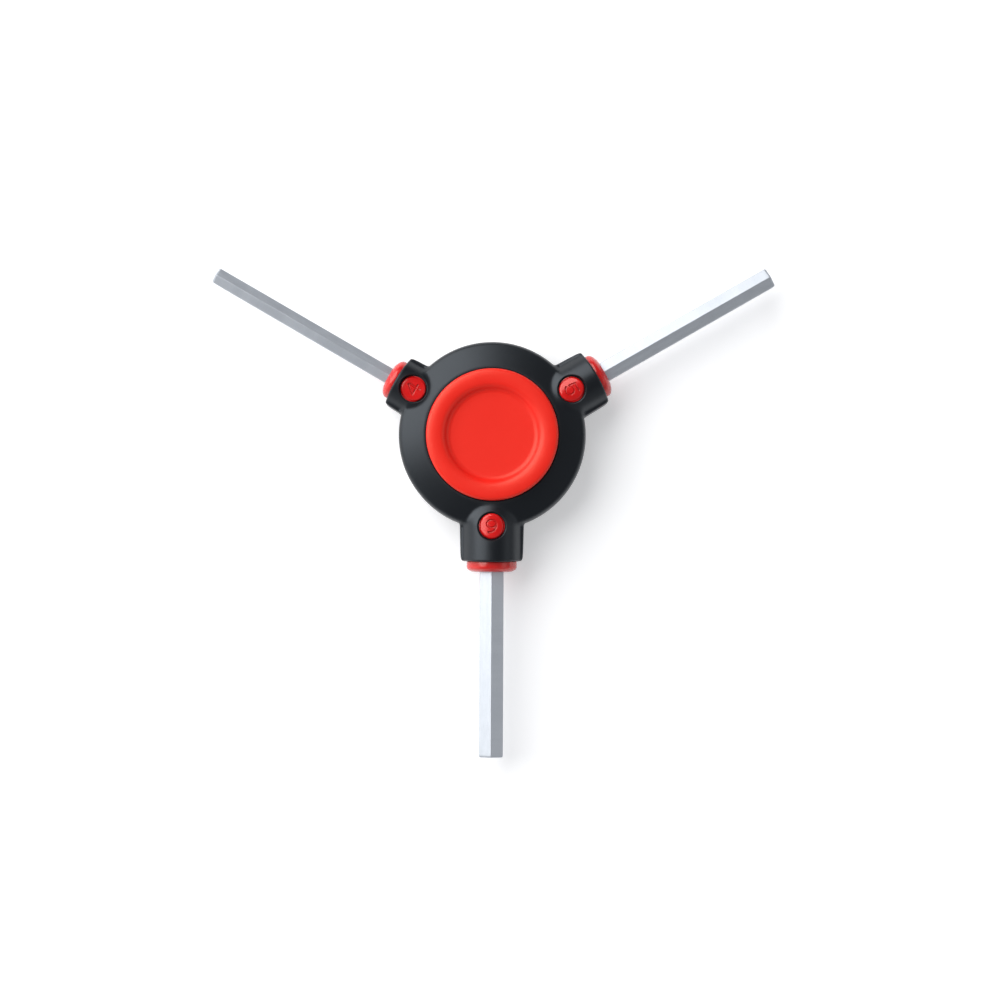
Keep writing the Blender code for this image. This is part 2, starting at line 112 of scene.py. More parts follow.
class Value:
    """A node's output whose arithmetic adds Math nodes to its graph."""

    def __init__(self, graph: Graph, socket: bpy.types.NodeSocket) -> None:
        """Keeps the graph and the socket."""
        self.graph = graph
        self.socket = socket

    __add__ = operator("ADD")
    __radd__ = operator("ADD", True)
    __sub__ = operator("SUBTRACT")
    __rsub__ = operator("SUBTRACT", True)
    __mul__ = operator("MULTIPLY")
    __rmul__ = operator("MULTIPLY", True)
    __truediv__ = operator("DIVIDE")
    __rtruediv__ = operator("DIVIDE", True)
    __pow__ = operator("POWER")
    __mod__ = operator("MODULO")
    __gt__ = operator("GREATER_THAN")
    __lt__ = operator("LESS_THAN")

    def do(self, operation: str, *others: Value | float) -> Value:
        """Any other Math operation on this value."""
        return self.graph.math(operation, self, *others)

    def output(self, key: str) -> Value:
        """Another output of the same node."""
        return Value(self.graph, self.graph.socket(self.socket.node.outputs, key))

    def within(self, low: Value | float, high: Value | float) -> Value:
        """The value held between two bounds."""
        return self.do("MAXIMUM", low).do("MINIMUM", high)

    def to(self, target: Value | float, share: Value | float) -> Value:
        """The value moved towards a target by a share of the way."""
        return self + (target - self) * share


Input = "Value | float | str | Sequence | bpy.types.ID"
Settings = dict[str, object]
Sockets = dict["str | int", Input]


class Graph:
    """A node tree under construction."""

    def __init__(self, tree: bpy.types.NodeTree) -> None:
        """Keeps the tree."""
        self.tree = tree

    @staticmethod
    def socket(sockets: Iterable[bpy.types.NodeSocket], key: str | int) -> bpy.types.NodeSocket:
        """Finds a socket.

        Args:
            sockets: A node's inputs or outputs.
            key: The socket's number, identifier or name.

        Returns:
            The socket, an enabled one where names repeat.
        """
        if isinstance(key, int):
            return sockets[key]
        found = [s for s in sockets if s.identifier == key]
        return (found or [s for s in sockets if s.name == key and s.enabled])[0]

    def feed(self, socket: bpy.types.NodeSocket, given: Input) -> None:
        """Links a socket or sets its plain value.

        Args:
            socket: The input socket.
            given: A value to link, a list of them for a socket that takes many, or what it is set to.
        """
        if isinstance(given, Value):
            self.tree.links.new(given.socket, socket)
        elif isinstance(given, list):
            for one in given:
                self.feed(socket, one)
        else:
            socket.default_value = (*given, 1.0) if socket.type == "RGBA" else given

    def add(
        self, kind: str, settings: Settings | None = None, sockets: Sockets | None = None
    ) -> bpy.types.Node:
        """Adds one node.

        Args:
            kind: The node's type.
            settings: Its properties, set first.
            sockets: The values or links of its inputs.

        Returns:
            The node.
        """
        made = self.tree.nodes.new(kind)
        for name, setting in (settings or {}).items():
            setattr(made, name, setting)
        for key, given in (sockets or {}).items():
            self.feed(self.socket(made.inputs, key), given)
        return made

    def node(
        self,
        kind: str,
        settings: Settings | None = None,
        sockets: Sockets | None = None,
        output: str | int = 0,
    ) -> Value:
        """Adds one node as add() does and returns one of its outputs."""
        return Value(self, self.socket(self.add(kind, settings, sockets).outputs, output))

    def math(self, operation: str, *operands: Value | float) -> Value:
        """Adds a Math node with these operands."""
        return self.node("ShaderNodeMath", {"operation": operation}, dict(enumerate(operands)))

    def vector(self, operation: str, *operands: Input, output: str | int = 0) -> Value:
        """Adds a Vector Math node with these operands."""
        return self.node("ShaderNodeVectorMath", {"operation": operation}, dict(enumerate(operands)), output)

    def joined(self, x: Value | float, y: Value | float, z: Value | float) -> Value:
        """A vector from its three parts."""
        return self.node("ShaderNodeCombineXYZ", sockets={"X": x, "Y": y, "Z": z})

    def parts(self, vector: Value) -> tuple[Value, Value, Value]:
        """A vector's three parts."""
        x = self.node("ShaderNodeSeparateXYZ", sockets={0: vector})
        return x, x.output("Y"), x.output("Z")

    def mixed(self, share: Value | float, first: Input, second: Input, way: str = "MIX") -> Value:
        """A colour between two others, by a share of the second."""
        sockets = {"Factor_Float": share, "A_Color": first, "B_Color": second}
        return self.node("ShaderNodeMix", {"data_type": "RGBA", "blend_type": way}, sockets, "Result_Color")

    def step(self, value: Value, low: float, high: float) -> Value:
        """The value's way from one bound to the other, from 0 to 1 and smooth at both."""
        sockets = {"Value": value, "From Min": low, "From Max": high}
        return self.node("ShaderNodeMapRange", {"interpolation_type": "SMOOTHSTEP"}, sockets)


class ShapeTree(Graph):
    """A Geometry Nodes tree with named sizes, which makes one mesh."""

    def __init__(self, name: str) -> None:
        """Starts an empty tree.

        Args:
            name: The tree's name.
        """
        tree = bpy.data.node_groups.new(name, "GeometryNodeTree")
        tree.interface.new_socket("Geometry", in_out="OUTPUT", socket_type="NodeSocketGeometry")
        super().__init__(tree)
        self.entry = self.add("NodeGroupInput")
        self.given: dict[str, float] = {}

    def sizes(self, owner: object, names: Sequence[str], prefix: str = "") -> dict[str, Value]:
        """Adds a named input for each of these sizes, which the modifier sets.

        Args:
            owner: The piece or arm that has the sizes.
            names: The sizes' names.
            prefix: What stands before them in the inputs' names.

        Returns:
            The inputs as values, by the sizes' names.
        """
        values = {}
        for name in names:
            label = f"{prefix}{name}".replace("_", " ").capitalize()
            made = self.tree.interface.new_socket(label, in_out="INPUT", socket_type="NodeSocketFloat")
            self.given[made.identifier] = getattr(owner, name)
            values[name] = Value(self, self.socket(self.entry.outputs, made.identifier))
        return values

    def grid(self, columns: int, rows: int) -> tuple[Value, Value, Value]:
        """A grid whose last column will meet its first.

        Args:
            columns: The cells round it.
            rows: The rings of corners along it.

        Returns:
            The mesh, and each corner's column and row.
        """
        mesh = self.node("GeometryNodeMeshGrid", sockets={"Vertices X": columns + 1, "Vertices Y": rows})
        index = self.node("GeometryNodeInputIndex")
        return mesh, (index / rows + 0.5 / rows).do("FLOOR"), index % rows

    def corner(self) -> tuple[Value, Value]:
        """Each corner's place, seen from above."""
        return self.parts(self.node("GeometryNodeInputPosition"))[:2]

    def placed(self, mesh: Value, position: Value) -> Value:
        """Sets the place of each corner."""
        return self.node("GeometryNodeSetPosition", sockets={"Geometry": mesh, "Position": position})

    def welded(self, mesh: Value) -> Value:
        """Closes a grid's seam and poles."""
        return self.node("GeometryNodeMergeByDistance", sockets={"Geometry": mesh, "Distance": WELD})

    def moved(
        self, mesh: Value, place: Input = (0, 0, 0), turn: Input = (0, 0, 0), scale: Input = (1, 1, 1)
    ) -> Value:
        """Scales, turns and moves a mesh."""
        sockets = {"Geometry": mesh, "Translation": place, "Rotation": turn, "Scale": scale}
        return self.node("GeometryNodeTransform", sockets=sockets)

    def cylinder(self, radius: Value | float, low: float, high: Value | float, facets: int) -> Value:
        """A closed cylinder along Z.

        Args:
            radius: Its radius.
            low: The height of its lower end.
            high: The height of its upper end.
            facets: The facets round it.

        Returns:
            The mesh.
        """
        sockets = {"Vertices": facets, "Radius": radius, "Depth": high - low}
        drum = self.node("GeometryNodeMeshCylinder", sockets=sockets)
        return self.moved(drum, self.joined(0.0, 0.0, low + (high - low) * 0.5))

    def make(self, shape: Value, material: bpy.types.Material) -> bpy.types.Mesh:
        """Ends the tree, evaluates it once and returns its mesh.

        Args:
            shape: The geometry that the tree makes.
            material: The material of its faces.

        Returns:
            The finished mesh.
        """
        real = self.node("GeometryNodeRealizeInstances", sockets={"Geometry": shape})
        dressed = self.node("GeometryNodeSetMaterial", sockets={"Geometry": real, "Material": material})
        self.add("NodeGroupOutput", sockets={0: dressed})
        host = stood("shape_host", bpy.data.meshes.new("shape_host"))
        modifier = host.modifiers.new(self.tree.name, "NODES")
        modifier.node_group = self.tree
        for identifier, value in self.given.items():
            modifier[identifier] = value
        mesh = evaluated_mesh(host)
        bpy.data.objects.remove(host)
        return mesh


# Meshes


def stood(name: str, data: bpy.types.ID) -> bpy.types.Object:
    """Makes an object of a mesh, camera or lamp and links it into the scene.

    Args:
        name: Its name.
        data: Its mesh, camera or lamp.

    Returns:
        The object.
    """
    thing = bpy.data.objects.new(name, data)
    bpy.context.scene.collection.objects.link(thing)
    return thing


def evaluated_mesh(host: bpy.types.Object) -> bpy.types.Mesh:
    """The plain mesh that an object's modifiers make.

    Args:
        host: The object.

    Returns:
        A new mesh.
    """
    graph = bpy.context.evaluated_depsgraph_get()
    made = host.evaluated_get(graph)
    return bpy.data.meshes.new_from_object(made, preserve_all_data_layers=True, depsgraph=graph)


def turned_grid(rings: np.ndarray) -> bpy.types.Mesh:
    """Closes rings of points into one skin, from the first ring's middle to the last one's.

    Args:
        rings: Places in metres, as rings by points by three.

    Returns:
        The mesh, closed at both ends by a fan.
    """
    count, around, _ = rings.shape
    corners = np.concatenate([rings.reshape(-1, 3), rings[[0, -1]].mean(axis=1)])
    pairs = [(i, (i + 1) % around) for i in range(around)]
    starts = range(0, (count - 1) * around, around)
    faces = [(a + i, a + j, a + around + j, a + around + i) for a in starts for i, j in pairs]
    last = (count - 1) * around
    for i, j in pairs:
        faces += [(count * around, j, i), (count * around + 1, last + i, last + j)]
    mesh = bpy.data.meshes.new("skin")
    mesh.from_pydata(corners.tolist(), [], faces)
    return outward(mesh)


def outward(mesh: bpy.types.Mesh) -> bpy.types.Mesh:
    """Merges a mesh's doubles and turns its faces outwards.

    Args:
        mesh: The mesh, which is changed.

    Returns:
        The same mesh.
    """
    shape = bmesh.new()
    shape.from_mesh(mesh)
    bmesh.ops.remove_doubles(shape, verts=shape.verts, dist=WELD)
    bmesh.ops.recalc_face_normals(shape, faces=shape.faces)
    shape.to_mesh(mesh)
    shape.free()
    return mesh


def ring(radius: float, height: float | np.ndarray, facets: int) -> np.ndarray:
    """Points round Z from +X on, at one height or at a height for each point."""
    turns = np.linspace(0, math.tau, facets, endpoint=False)
    heights = np.broadcast_to(height, facets)
    return np.stack([radius * np.cos(turns), radius * np.sin(turns), heights], axis=-1)


def revolved(profile: Sequence[tuple[float, float | np.ndarray]], facets: int) -> bpy.types.Mesh:
    """A solid round Z between rings, each given by its radius and height."""
    return turned_grid(np.array([ring(radius, height, facets) for radius, height in profile]))


def hexagon_prism(across_flats: float, low: float, high: float) -> bpy.types.Mesh:
    """A hexagonal bar along Z, one corner on +X."""
    radius = across_flats / math.sqrt(3)
    return revolved([(radius, low), (radius, high)], 6)


def arc(centre: Point, radius: float, first: float, last: float, steps: int) -> list[Point]:
    """Points on an arc between two angles in degrees, one more than its steps."""
    turns = np.radians(np.linspace(first, last, steps + 1))
    return [(centre[0] + radius * math.cos(a), centre[1] + radius * math.sin(a)) for a in turns]


def carved(mesh: bpy.types.Mesh, cutters: Sequence[bpy.types.Mesh]) -> bpy.types.Mesh:
    """Takes closed meshes away from a closed mesh.

    Args:
        mesh: The mesh that is cut.
        cutters: What is taken away.

    Returns:
        The cut mesh.
    """
    host = stood("carving", mesh)
    helpers = []
    for cutter in cutters:
        helpers.append(stood("cutter", cutter))
        step = host.modifiers.new("carve", "BOOLEAN")
        step.operation, step.solver, step.object = "DIFFERENCE", "MANIFOLD", helpers[-1]
    result = evaluated_mesh(host)
    for thing in [host, *helpers]:
        bpy.data.objects.remove(thing)
    return result


def wear_and_shade_masks(mesh: bpy.types.Mesh, radius: float, rounds: int = 2) -> None:
    """Stores how tightly the surface turns: outwards for edge wear and painted sheen, inwards for grime and
    painted shade.

    Args:
        mesh: The finished mesh.
        radius: The edge radius that counts as fully worn.
        rounds: How many times the result is spread to its neighbours.
    """
    count = len(mesh.vertices)
    places = np.empty(count * 3)
    normals = np.empty(count * 3)
    pairs = np.empty(len(mesh.edges) * 2, int)
    mesh.vertices.foreach_get("co", places)
    mesh.vertex_normals.foreach_get("vector", normals)
    mesh.edges.foreach_get("vertices", pairs)
    places, normals, pairs = places.reshape(-1, 3), normals.reshape(-1, 3), pairs.reshape(-1, 2)
    bend, weight = np.zeros(count), np.full(count, TINY)
    for first, second in (pairs.T, pairs.T[::-1]):
        along = places[second] - places[first]
        length = np.linalg.norm(along, axis=1) + TINY
        np.add.at(bend, first, -2 * (normals[first] * along).sum(axis=1) / length)
        np.add.at(weight, first, length)
    # An edge bends one way only, so the mean of all ways is doubled.
    # The inward turn darkens hollows in the finishes: partly grime, partly painted shade.
    for name, gain in (("wear_and_sheen", 2), ("grime_and_shade", -2)):
        share = np.clip(gain * radius * bend / weight, 0, 1)
        for _ in range(rounds):
            spread, shares = share.copy(), np.ones(count)
            for first, second in (pairs.T, pairs.T[::-1]):
                np.add.at(spread, first, share[second])
                np.add.at(shares, first, 1)
            share = spread / shares
        layer = mesh.attributes.new(name, "FLOAT", "POINT")
        layer.data.foreach_set("value", share.astype(np.float32))


def settled(
    mesh: bpy.types.Mesh,
    name: str,
    body: str,
    material: bpy.types.Material,
    node: str,
    wear_radius: float = 0.4 * MM,
) -> None:
    """Makes a finished piece of a mesh and lets it ride on its body.

    Args:
        mesh: Its mesh, in place.
        name: Its name.
        body: The body that carries it.
        material: Its material.
        node: The node that it stands for.
        wear_radius: The edge radius that counts as fully worn.
    """
    mesh.name = name
    mesh.materials.clear()
    mesh.materials.append(material)
    mesh.shade_smooth()
    mesh.set_sharp_from_angle(angle=SMOOTH_ANGLE)
    wear_and_shade_masks(mesh, wear_radius)
    piece = stood(name, mesh)
    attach(piece, body)
    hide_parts(node)
    log.info("%s: %d faces on %s", name, len(mesh.polygons), body)


# Finishes


def scaled(colour: Colour, share: float) -> Colour:
    """A colour made darker or paler."""
    return tuple(min(1.0, channel * share) for channel in colour)


class Coating(Graph):
    """A material under construction."""

    def __init__(self, name: str) -> None:
        """Starts an empty material.

        Args:
            name: The material's name.
        """
        self.material = bpy.data.materials.new(name)
        self.material.use_nodes = True
        super().__init__(self.material.node_tree)
        self.tree.nodes.clear()
        self.places = self.node("ShaderNodeTexCoord", output="Object")

    def stored(self, name: str) -> Value:
        """What wear_and_shade_masks() has stored on the mesh under this name."""
        return self.node("ShaderNodeAttribute", {"attribute_name": name}, output="Fac")

    def noise(
        self, grain: float, detail: float = 2.0, places: Value | None = None, rough: float = 0.5
    ) -> Value:
        """A noise between 0 and 1.

        Args:
            grain: The size of its largest features, in metres.
            detail: How many finer layers it has.
            places: Its coordinates, the object's own if not given.
            rough: The weight of the finer layers.

        Returns:
            The noise.
        """
        sockets = {"Vector": places or self.places, "Scale": 1 / grain, "Detail": detail, "Roughness": rough}
        return self.node("ShaderNodeTexNoise", sockets=sockets)

    def stretched(self, scale: Sequence[float], turn: float = 0.0, places: Value | None = None) -> Value:
        """Coordinates turned about Z and then scaled."""
        sockets = {"Vector": places or self.places, "Scale": scale, "Rotation": (0, 0, turn)}
        return self.node("ShaderNodeMapping", {"vector_type": "TEXTURE"}, sockets)

    def bump(self, height: Value, depth: float, under: Value | None = None) -> Value:
        """A Bump node of a real depth, on top of another where one is given."""
        sockets = {"Height": height, "Distance": depth} | ({"Normal": under} if under else {})
        return self.node("ShaderNodeBump", sockets=sockets)

    def close(self, sockets: Sockets, kind: str = "ShaderNodeBsdfPrincipled") -> bpy.types.Material:
        """Ends the material in a shader with these sockets."""
        self.add("ShaderNodeOutputMaterial", sockets={"Surface": self.node(kind, sockets=sockets)})
        return self.material


@dataclass(frozen=True)
class MouldedPlastic:
    """A moulded plastic with a spark-eroded grain, shallow sinks, rubbed edges, dust, scuffs, and painted
    shade with some grime in its hollows.
    """

    name: str
    colour: Colour
    worn: Colour
    roughness: float
    grain: float = 0.22 * MM
    grain_depth: float = 0.006 * MM
    sink: float = 9.0 * MM
    sink_depth: float = 0.01 * MM
    mottle: float = 0.12
    gloss: float = 0.3
    gloss_tint: Colour = (1.0, 1.0, 1.0)
    speck_matt: float = 0.14
    sink_matt: float = 0.08
    # Painted shade in the hollows, with some grime: its strength, how dark it leaves the colour, and how
    # much rougher it makes the surface.
    grime_and_shade: float = 0.6
    grime_and_shade_tone: float = 0.3
    grime_matt: float = 0.3
    dust: float = 0.5 * MM
    dust_range: Point = (0.71, 0.78)
    dust_share: float = 0.06
    scuff: float = 0.5 * MM
    scuff_stretch: tuple[float, float, float] = (9.0, 0.6, 1.0)
    scuff_turn: float = 0.6
    scuff_range: Point = (0.66, 0.8)
    scuff_polish: float = 0.06
    rub: float = 2.2 * MM
    rub_range: Point = (0.25, 0.65)
    rub_share: float = 0.8
    rub_polish: float = 0.12
    least_roughness: float = 0.08

    def material(self) -> bpy.types.Material:
        """Builds the finish's nodes.

        Returns:
            The material.
        """
        coat = Coating(self.name)
        # The inward-turn mask, for painted shade and grime in the hollows.
        grime_and_shade = coat.stored("grime_and_shade") * self.grime_and_shade
        cloud = coat.noise(self.sink, detail=3.0)
        speck = coat.noise(self.grain)
        dust = coat.step(coat.noise(self.dust, detail=1.0), *self.dust_range)
        dragged = coat.stretched(self.scuff_stretch, self.scuff_turn)
        scuffs = coat.noise(self.scuff, detail=3.0, places=dragged)
        rubbed = coat.stored("wear_and_sheen") * coat.step(coat.noise(self.rub, detail=3.0), *self.rub_range)
        shade = coat.mixed(cloud, scaled(self.colour, 1 - self.mottle), scaled(self.colour, 1 + self.mottle))
        paler = coat.mixed(rubbed * self.rub_share, shade, self.worn)
        dusted = coat.mixed(dust * self.dust_share, paler, self.worn)
        # Hollows take a darker copy of the colour: painted shade where creases and grooves would fall dark,
        # with some grime.
        grimed_and_shaded = coat.mixed(grime_and_shade, dusted, scaled(self.colour, self.grime_and_shade_tone))
        rough = self.roughness + (speck - 0.5) * self.speck_matt + (cloud - 0.5) * self.sink_matt
        marked = rough - rubbed * self.rub_polish - coat.step(scuffs, *self.scuff_range) * self.scuff_polish
        sockets = {
            "Base Color": grimed_and_shaded,
            "Roughness": (marked + grime_and_shade * self.grime_matt).within(self.least_roughness, 1.0),
            "Normal": coat.bump(speck, self.grain_depth, coat.bump(cloud, self.sink_depth)),
            "Specular IOR Level": self.gloss,
            "Specular Tint": self.gloss_tint,
        }
        return coat.close(sockets)


@dataclass(frozen=True)
class DrawnSteel:
    """A metal with grain along its UV map's first axis, clouded plating, pits, and brighter edges, partly
    wear and partly a painted highlight.
    """

    name: str
    colour: Colour
    dull: Colour
    roughness: float
    streak: float = 0.10 * MM
    streak_length: float = 6.0 * MM
    streak_depth: float = 0.0012 * MM
    streak_matt: float = 0.12
    cloud: float = 1.6 * MM
    cloud_stretch: tuple[float, float, float] = (2.5, 1.0, 1.0)
    cloud_range: Point = (0.3, 0.75)
    cloud_matt: float = 0.16
    pit: float = 0.28 * MM
    pit_depth: float = 0.002 * MM
    pit_range: Point = (0.62, 0.74)
    pit_share: float = 0.24
    pit_shade: float = 0.6
    pit_matt: float = 0.12
    # Edges are painted brighter: partly wear, partly a painted highlight along the ridges.
    worn_sheen_edge_share: float = 0.35
    worn_sheen_edge_brightness: float = 1.15
    edge_polish: float = 0.06
    metallic: float = 0.7
    least_roughness: float = 0.08

    def material(self) -> bpy.types.Material:
        """Builds the finish's nodes.

        Returns:
            The material.
        """
        coat = Coating(self.name)
        wear_and_sheen = coat.stored("wear_and_sheen")
        along = coat.node("ShaderNodeUVMap", {"uv_map": "grain"})
        lengthwise = coat.stretched((self.streak_length / self.streak, 1.0, 1.0), places=along)
        streaks = coat.noise(self.streak, places=lengthwise)
        drawn = coat.stretched(self.cloud_stretch, places=along)
        clouds = coat.noise(self.cloud, detail=4.0, places=drawn, rough=0.6)
        pits = coat.step(coat.noise(self.pit), *self.pit_range)
        shade = coat.mixed(coat.step(clouds, *self.cloud_range), self.dull, self.colour)
        toned = coat.mixed(pits * self.pit_share, shade, scaled(self.dull, self.pit_shade))
        # Brighter edges: partly wear, partly a painted highlight along the bar's ridges.
        worn_sheen_edged = coat.mixed(wear_and_sheen * self.worn_sheen_edge_share, toned, scaled(self.colour, self.worn_sheen_edge_brightness))
        rough = self.roughness + (streaks - 0.5) * self.streak_matt + (clouds - 0.5) * self.cloud_matt
        marked = rough + pits * self.pit_matt - wear_and_sheen * self.edge_polish
        sockets = {
            "Base Color": worn_sheen_edged,
            "Metallic": self.metallic,
            "Roughness": marked.within(self.least_roughness, 1.0),
            "Normal": coat.bump(1 - pits, self.pit_depth, coat.bump(streaks, self.streak_depth)),
        }
        return coat.close(sockets)


@dataclass(frozen=True)
class TurnedSteel:
    """A metal with fine marks round the hub's axis and stains, for what sits inside the hub."""

    name: str
    colour: Colour
    roughness: float
    pitch: float = 0.15 * MM
    slant: float = 0.2
    mark_depth: float = 0.003 * MM
    mark_matt: float = 0.2
    stain: float = 2.5 * MM
    stain_range: Point = (0.35, 0.7)
    stain_shade: float = 0.7
    stain_matt: float = 0.15
    least_roughness: float = 0.1

    def material(self) -> bpy.types.Material:
        """Builds the finish's nodes.

        Returns:
            The material.
        """
        coat = Coating(self.name)
        x, y, z = coat.parts(coat.places)
        radius = (x * x + y * y).do("SQRT")
        marks = coat.noise(self.pitch, places=coat.joined(radius, z * self.slant, 0.0))
        stain = coat.noise(self.stain, detail=4.0)
        stained = scaled(self.colour, self.stain_shade)
        shade = coat.mixed(coat.step(stain, *self.stain_range), stained, self.colour)
        rough = self.roughness + (marks - 0.5) * self.mark_matt + (stain - 0.5) * self.stain_matt
        sockets = {
            "Base Color": shade,
            "Metallic": 1.0,
            "Roughness": rough.within(self.least_roughness, 1.0),
            "Normal": coat.bump(marks, self.mark_depth),
        }
        return coat.close(sockets)


@dataclass(frozen=True)
class StudioSweep:
    """The matt white floor, lifted to white for the camera and for reflections, its shadows kept."""

    colour: Colour = (0.86, 0.86, 0.865)
    fibre: float = 3.0 * MM
    fibre_shade: float = 0.99
    lift: float = 0.37

    def material(self) -> bpy.types.Material:
        """Builds the finish's nodes.

        Returns:
            The material.
        """
        coat = Coating("white_sweep")
        fibres = coat.noise(self.fibre, detail=3.0)
        tone = coat.mixed(fibres, self.colour, scaled(self.colour, self.fibre_shade))
        seen = coat.node("ShaderNodeLightPath", output="Is Camera Ray")
        mirrored, through = seen.output("Is Glossy Ray"), seen.output("Is Transmission Ray")
        matt = coat.node("ShaderNodeBsdfDiffuse", sockets={"Color": tone})
        glow = coat.node("ShaderNodeEmission", sockets={"Strength": (seen + mirrored + through) * self.lift})
        return coat.close({0: matt, 1: glow}, "ShaderNodeAddShader")


# The wrench's sizes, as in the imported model


@dataclass(frozen=True)
class Arm:
    """One arm: its hex size, its direction, where its socket ends and how round its collar is."""

    size: str
    across_flats: float
    direction: float
    mouth: float
    collar_round: float
    core_wall: float = 1.8 * MM
    side_wall: float = 2.2 * MM
    barrel_inset: float = 0.15 * MM
    pocket_depth: float = 2.0 * MM
    pocket_ledge: float = 0.5 * MM
    flat_share: float = 0.8

    @property
    def ridge(self) -> float:
        """The height of the bit's ridge before it is rounded."""
        return self.across_flats / math.sqrt(3)

    @property
    def flat_height(self) -> float:
        """The height of the flat that is ground into the ridge."""
        return self.flat_share * self.ridge

    @property
    def arm_radius(self) -> float:
        """The steel arm's radius."""
        return self.ridge + self.core_wall

    @property
    def bore_radius(self) -> float:
        """The radius of the bore round the steel arm."""
        return self.arm_radius + FIT

    @property
    def crest(self) -> float:
        """The height of the socket's back."""
        return self.bore_radius + self.pocket_ledge + self.pocket_depth

    @property
    def pocket_floor(self) -> float:
        """The height of the plug pocket's floor."""
        return self.crest - self.pocket_depth

    @property
    def half_width(self) -> float:
        """Half of the socket's width at its mouth."""
        return self.bore_radius + self.side_wall

    @property
    def barrel_radius(self) -> float:
        """The radius of the socket's round back."""
        return self.half_width - self.barrel_inset

    @property
    def barrel_axis(self) -> float:
        """The height of the round back's axis."""
        return self.crest - self.barrel_radius

    @property
    def bore_flats(self) -> float:
        """The hex bore's size across its flats."""
        return self.across_flats + 2 * SLIDE_FIT

    @property
    def turn(self) -> Matrix:
        """Takes +X to the arm's direction, and heights from the mid-plane to the frame."""
        return Matrix.Translation((0, 0, MID_PLANE)) @ Matrix.Rotation(self.direction, 4, "Z")

    def named(self, kind: str) -> str:
        """The name of this arm's body or node of a kind."""
        return f"{kind}_{self.size}"


ARMS = (
    Arm("6mm", 6.0 * MM, math.radians(270), 31.6 * MM, 1.3 * MM),
    Arm("5mm", 5.0 * MM, math.radians(30), 29.9 * MM, 2.0 * MM),
    Arm("4mm", 4.0 * MM, math.radians(150), 27.6 * MM, 2.0 * MM),
)
ARM_SIZES = (
    "direction", "half_width", "mouth", "barrel_radius", "barrel_axis", "bore_radius", "pocket_floor",
)
HUB_SIZES = (
    "hub_radius", "seat_radius", "crown", "fall", "rim_fillet", "rim_width", "rim_drop", "mouth_fillet",
)
MOUTH_BOW = 0.4 * MM
PLUG_STATION = 22.75 * MM
POCKET_RADIUS = 3.5 * MM
PLUG_RADIUS = 3.2 * MM
STEM_RADIUS = 2.3 * MM
CAP_RADIUS = 16.42 * MM
CAP_TOP = MID_PLANE
SEAT_FLOOR = 6.164 * MM
SCREW_CIRCLE = 13.37 * MM
HEAD_SEAT = 4.644 * MM
SHANK_REACH = 4.414 * MM
CORE_HALF = 4.214 * MM
CORE_RADIUS = 10.5 * MM


# The hub


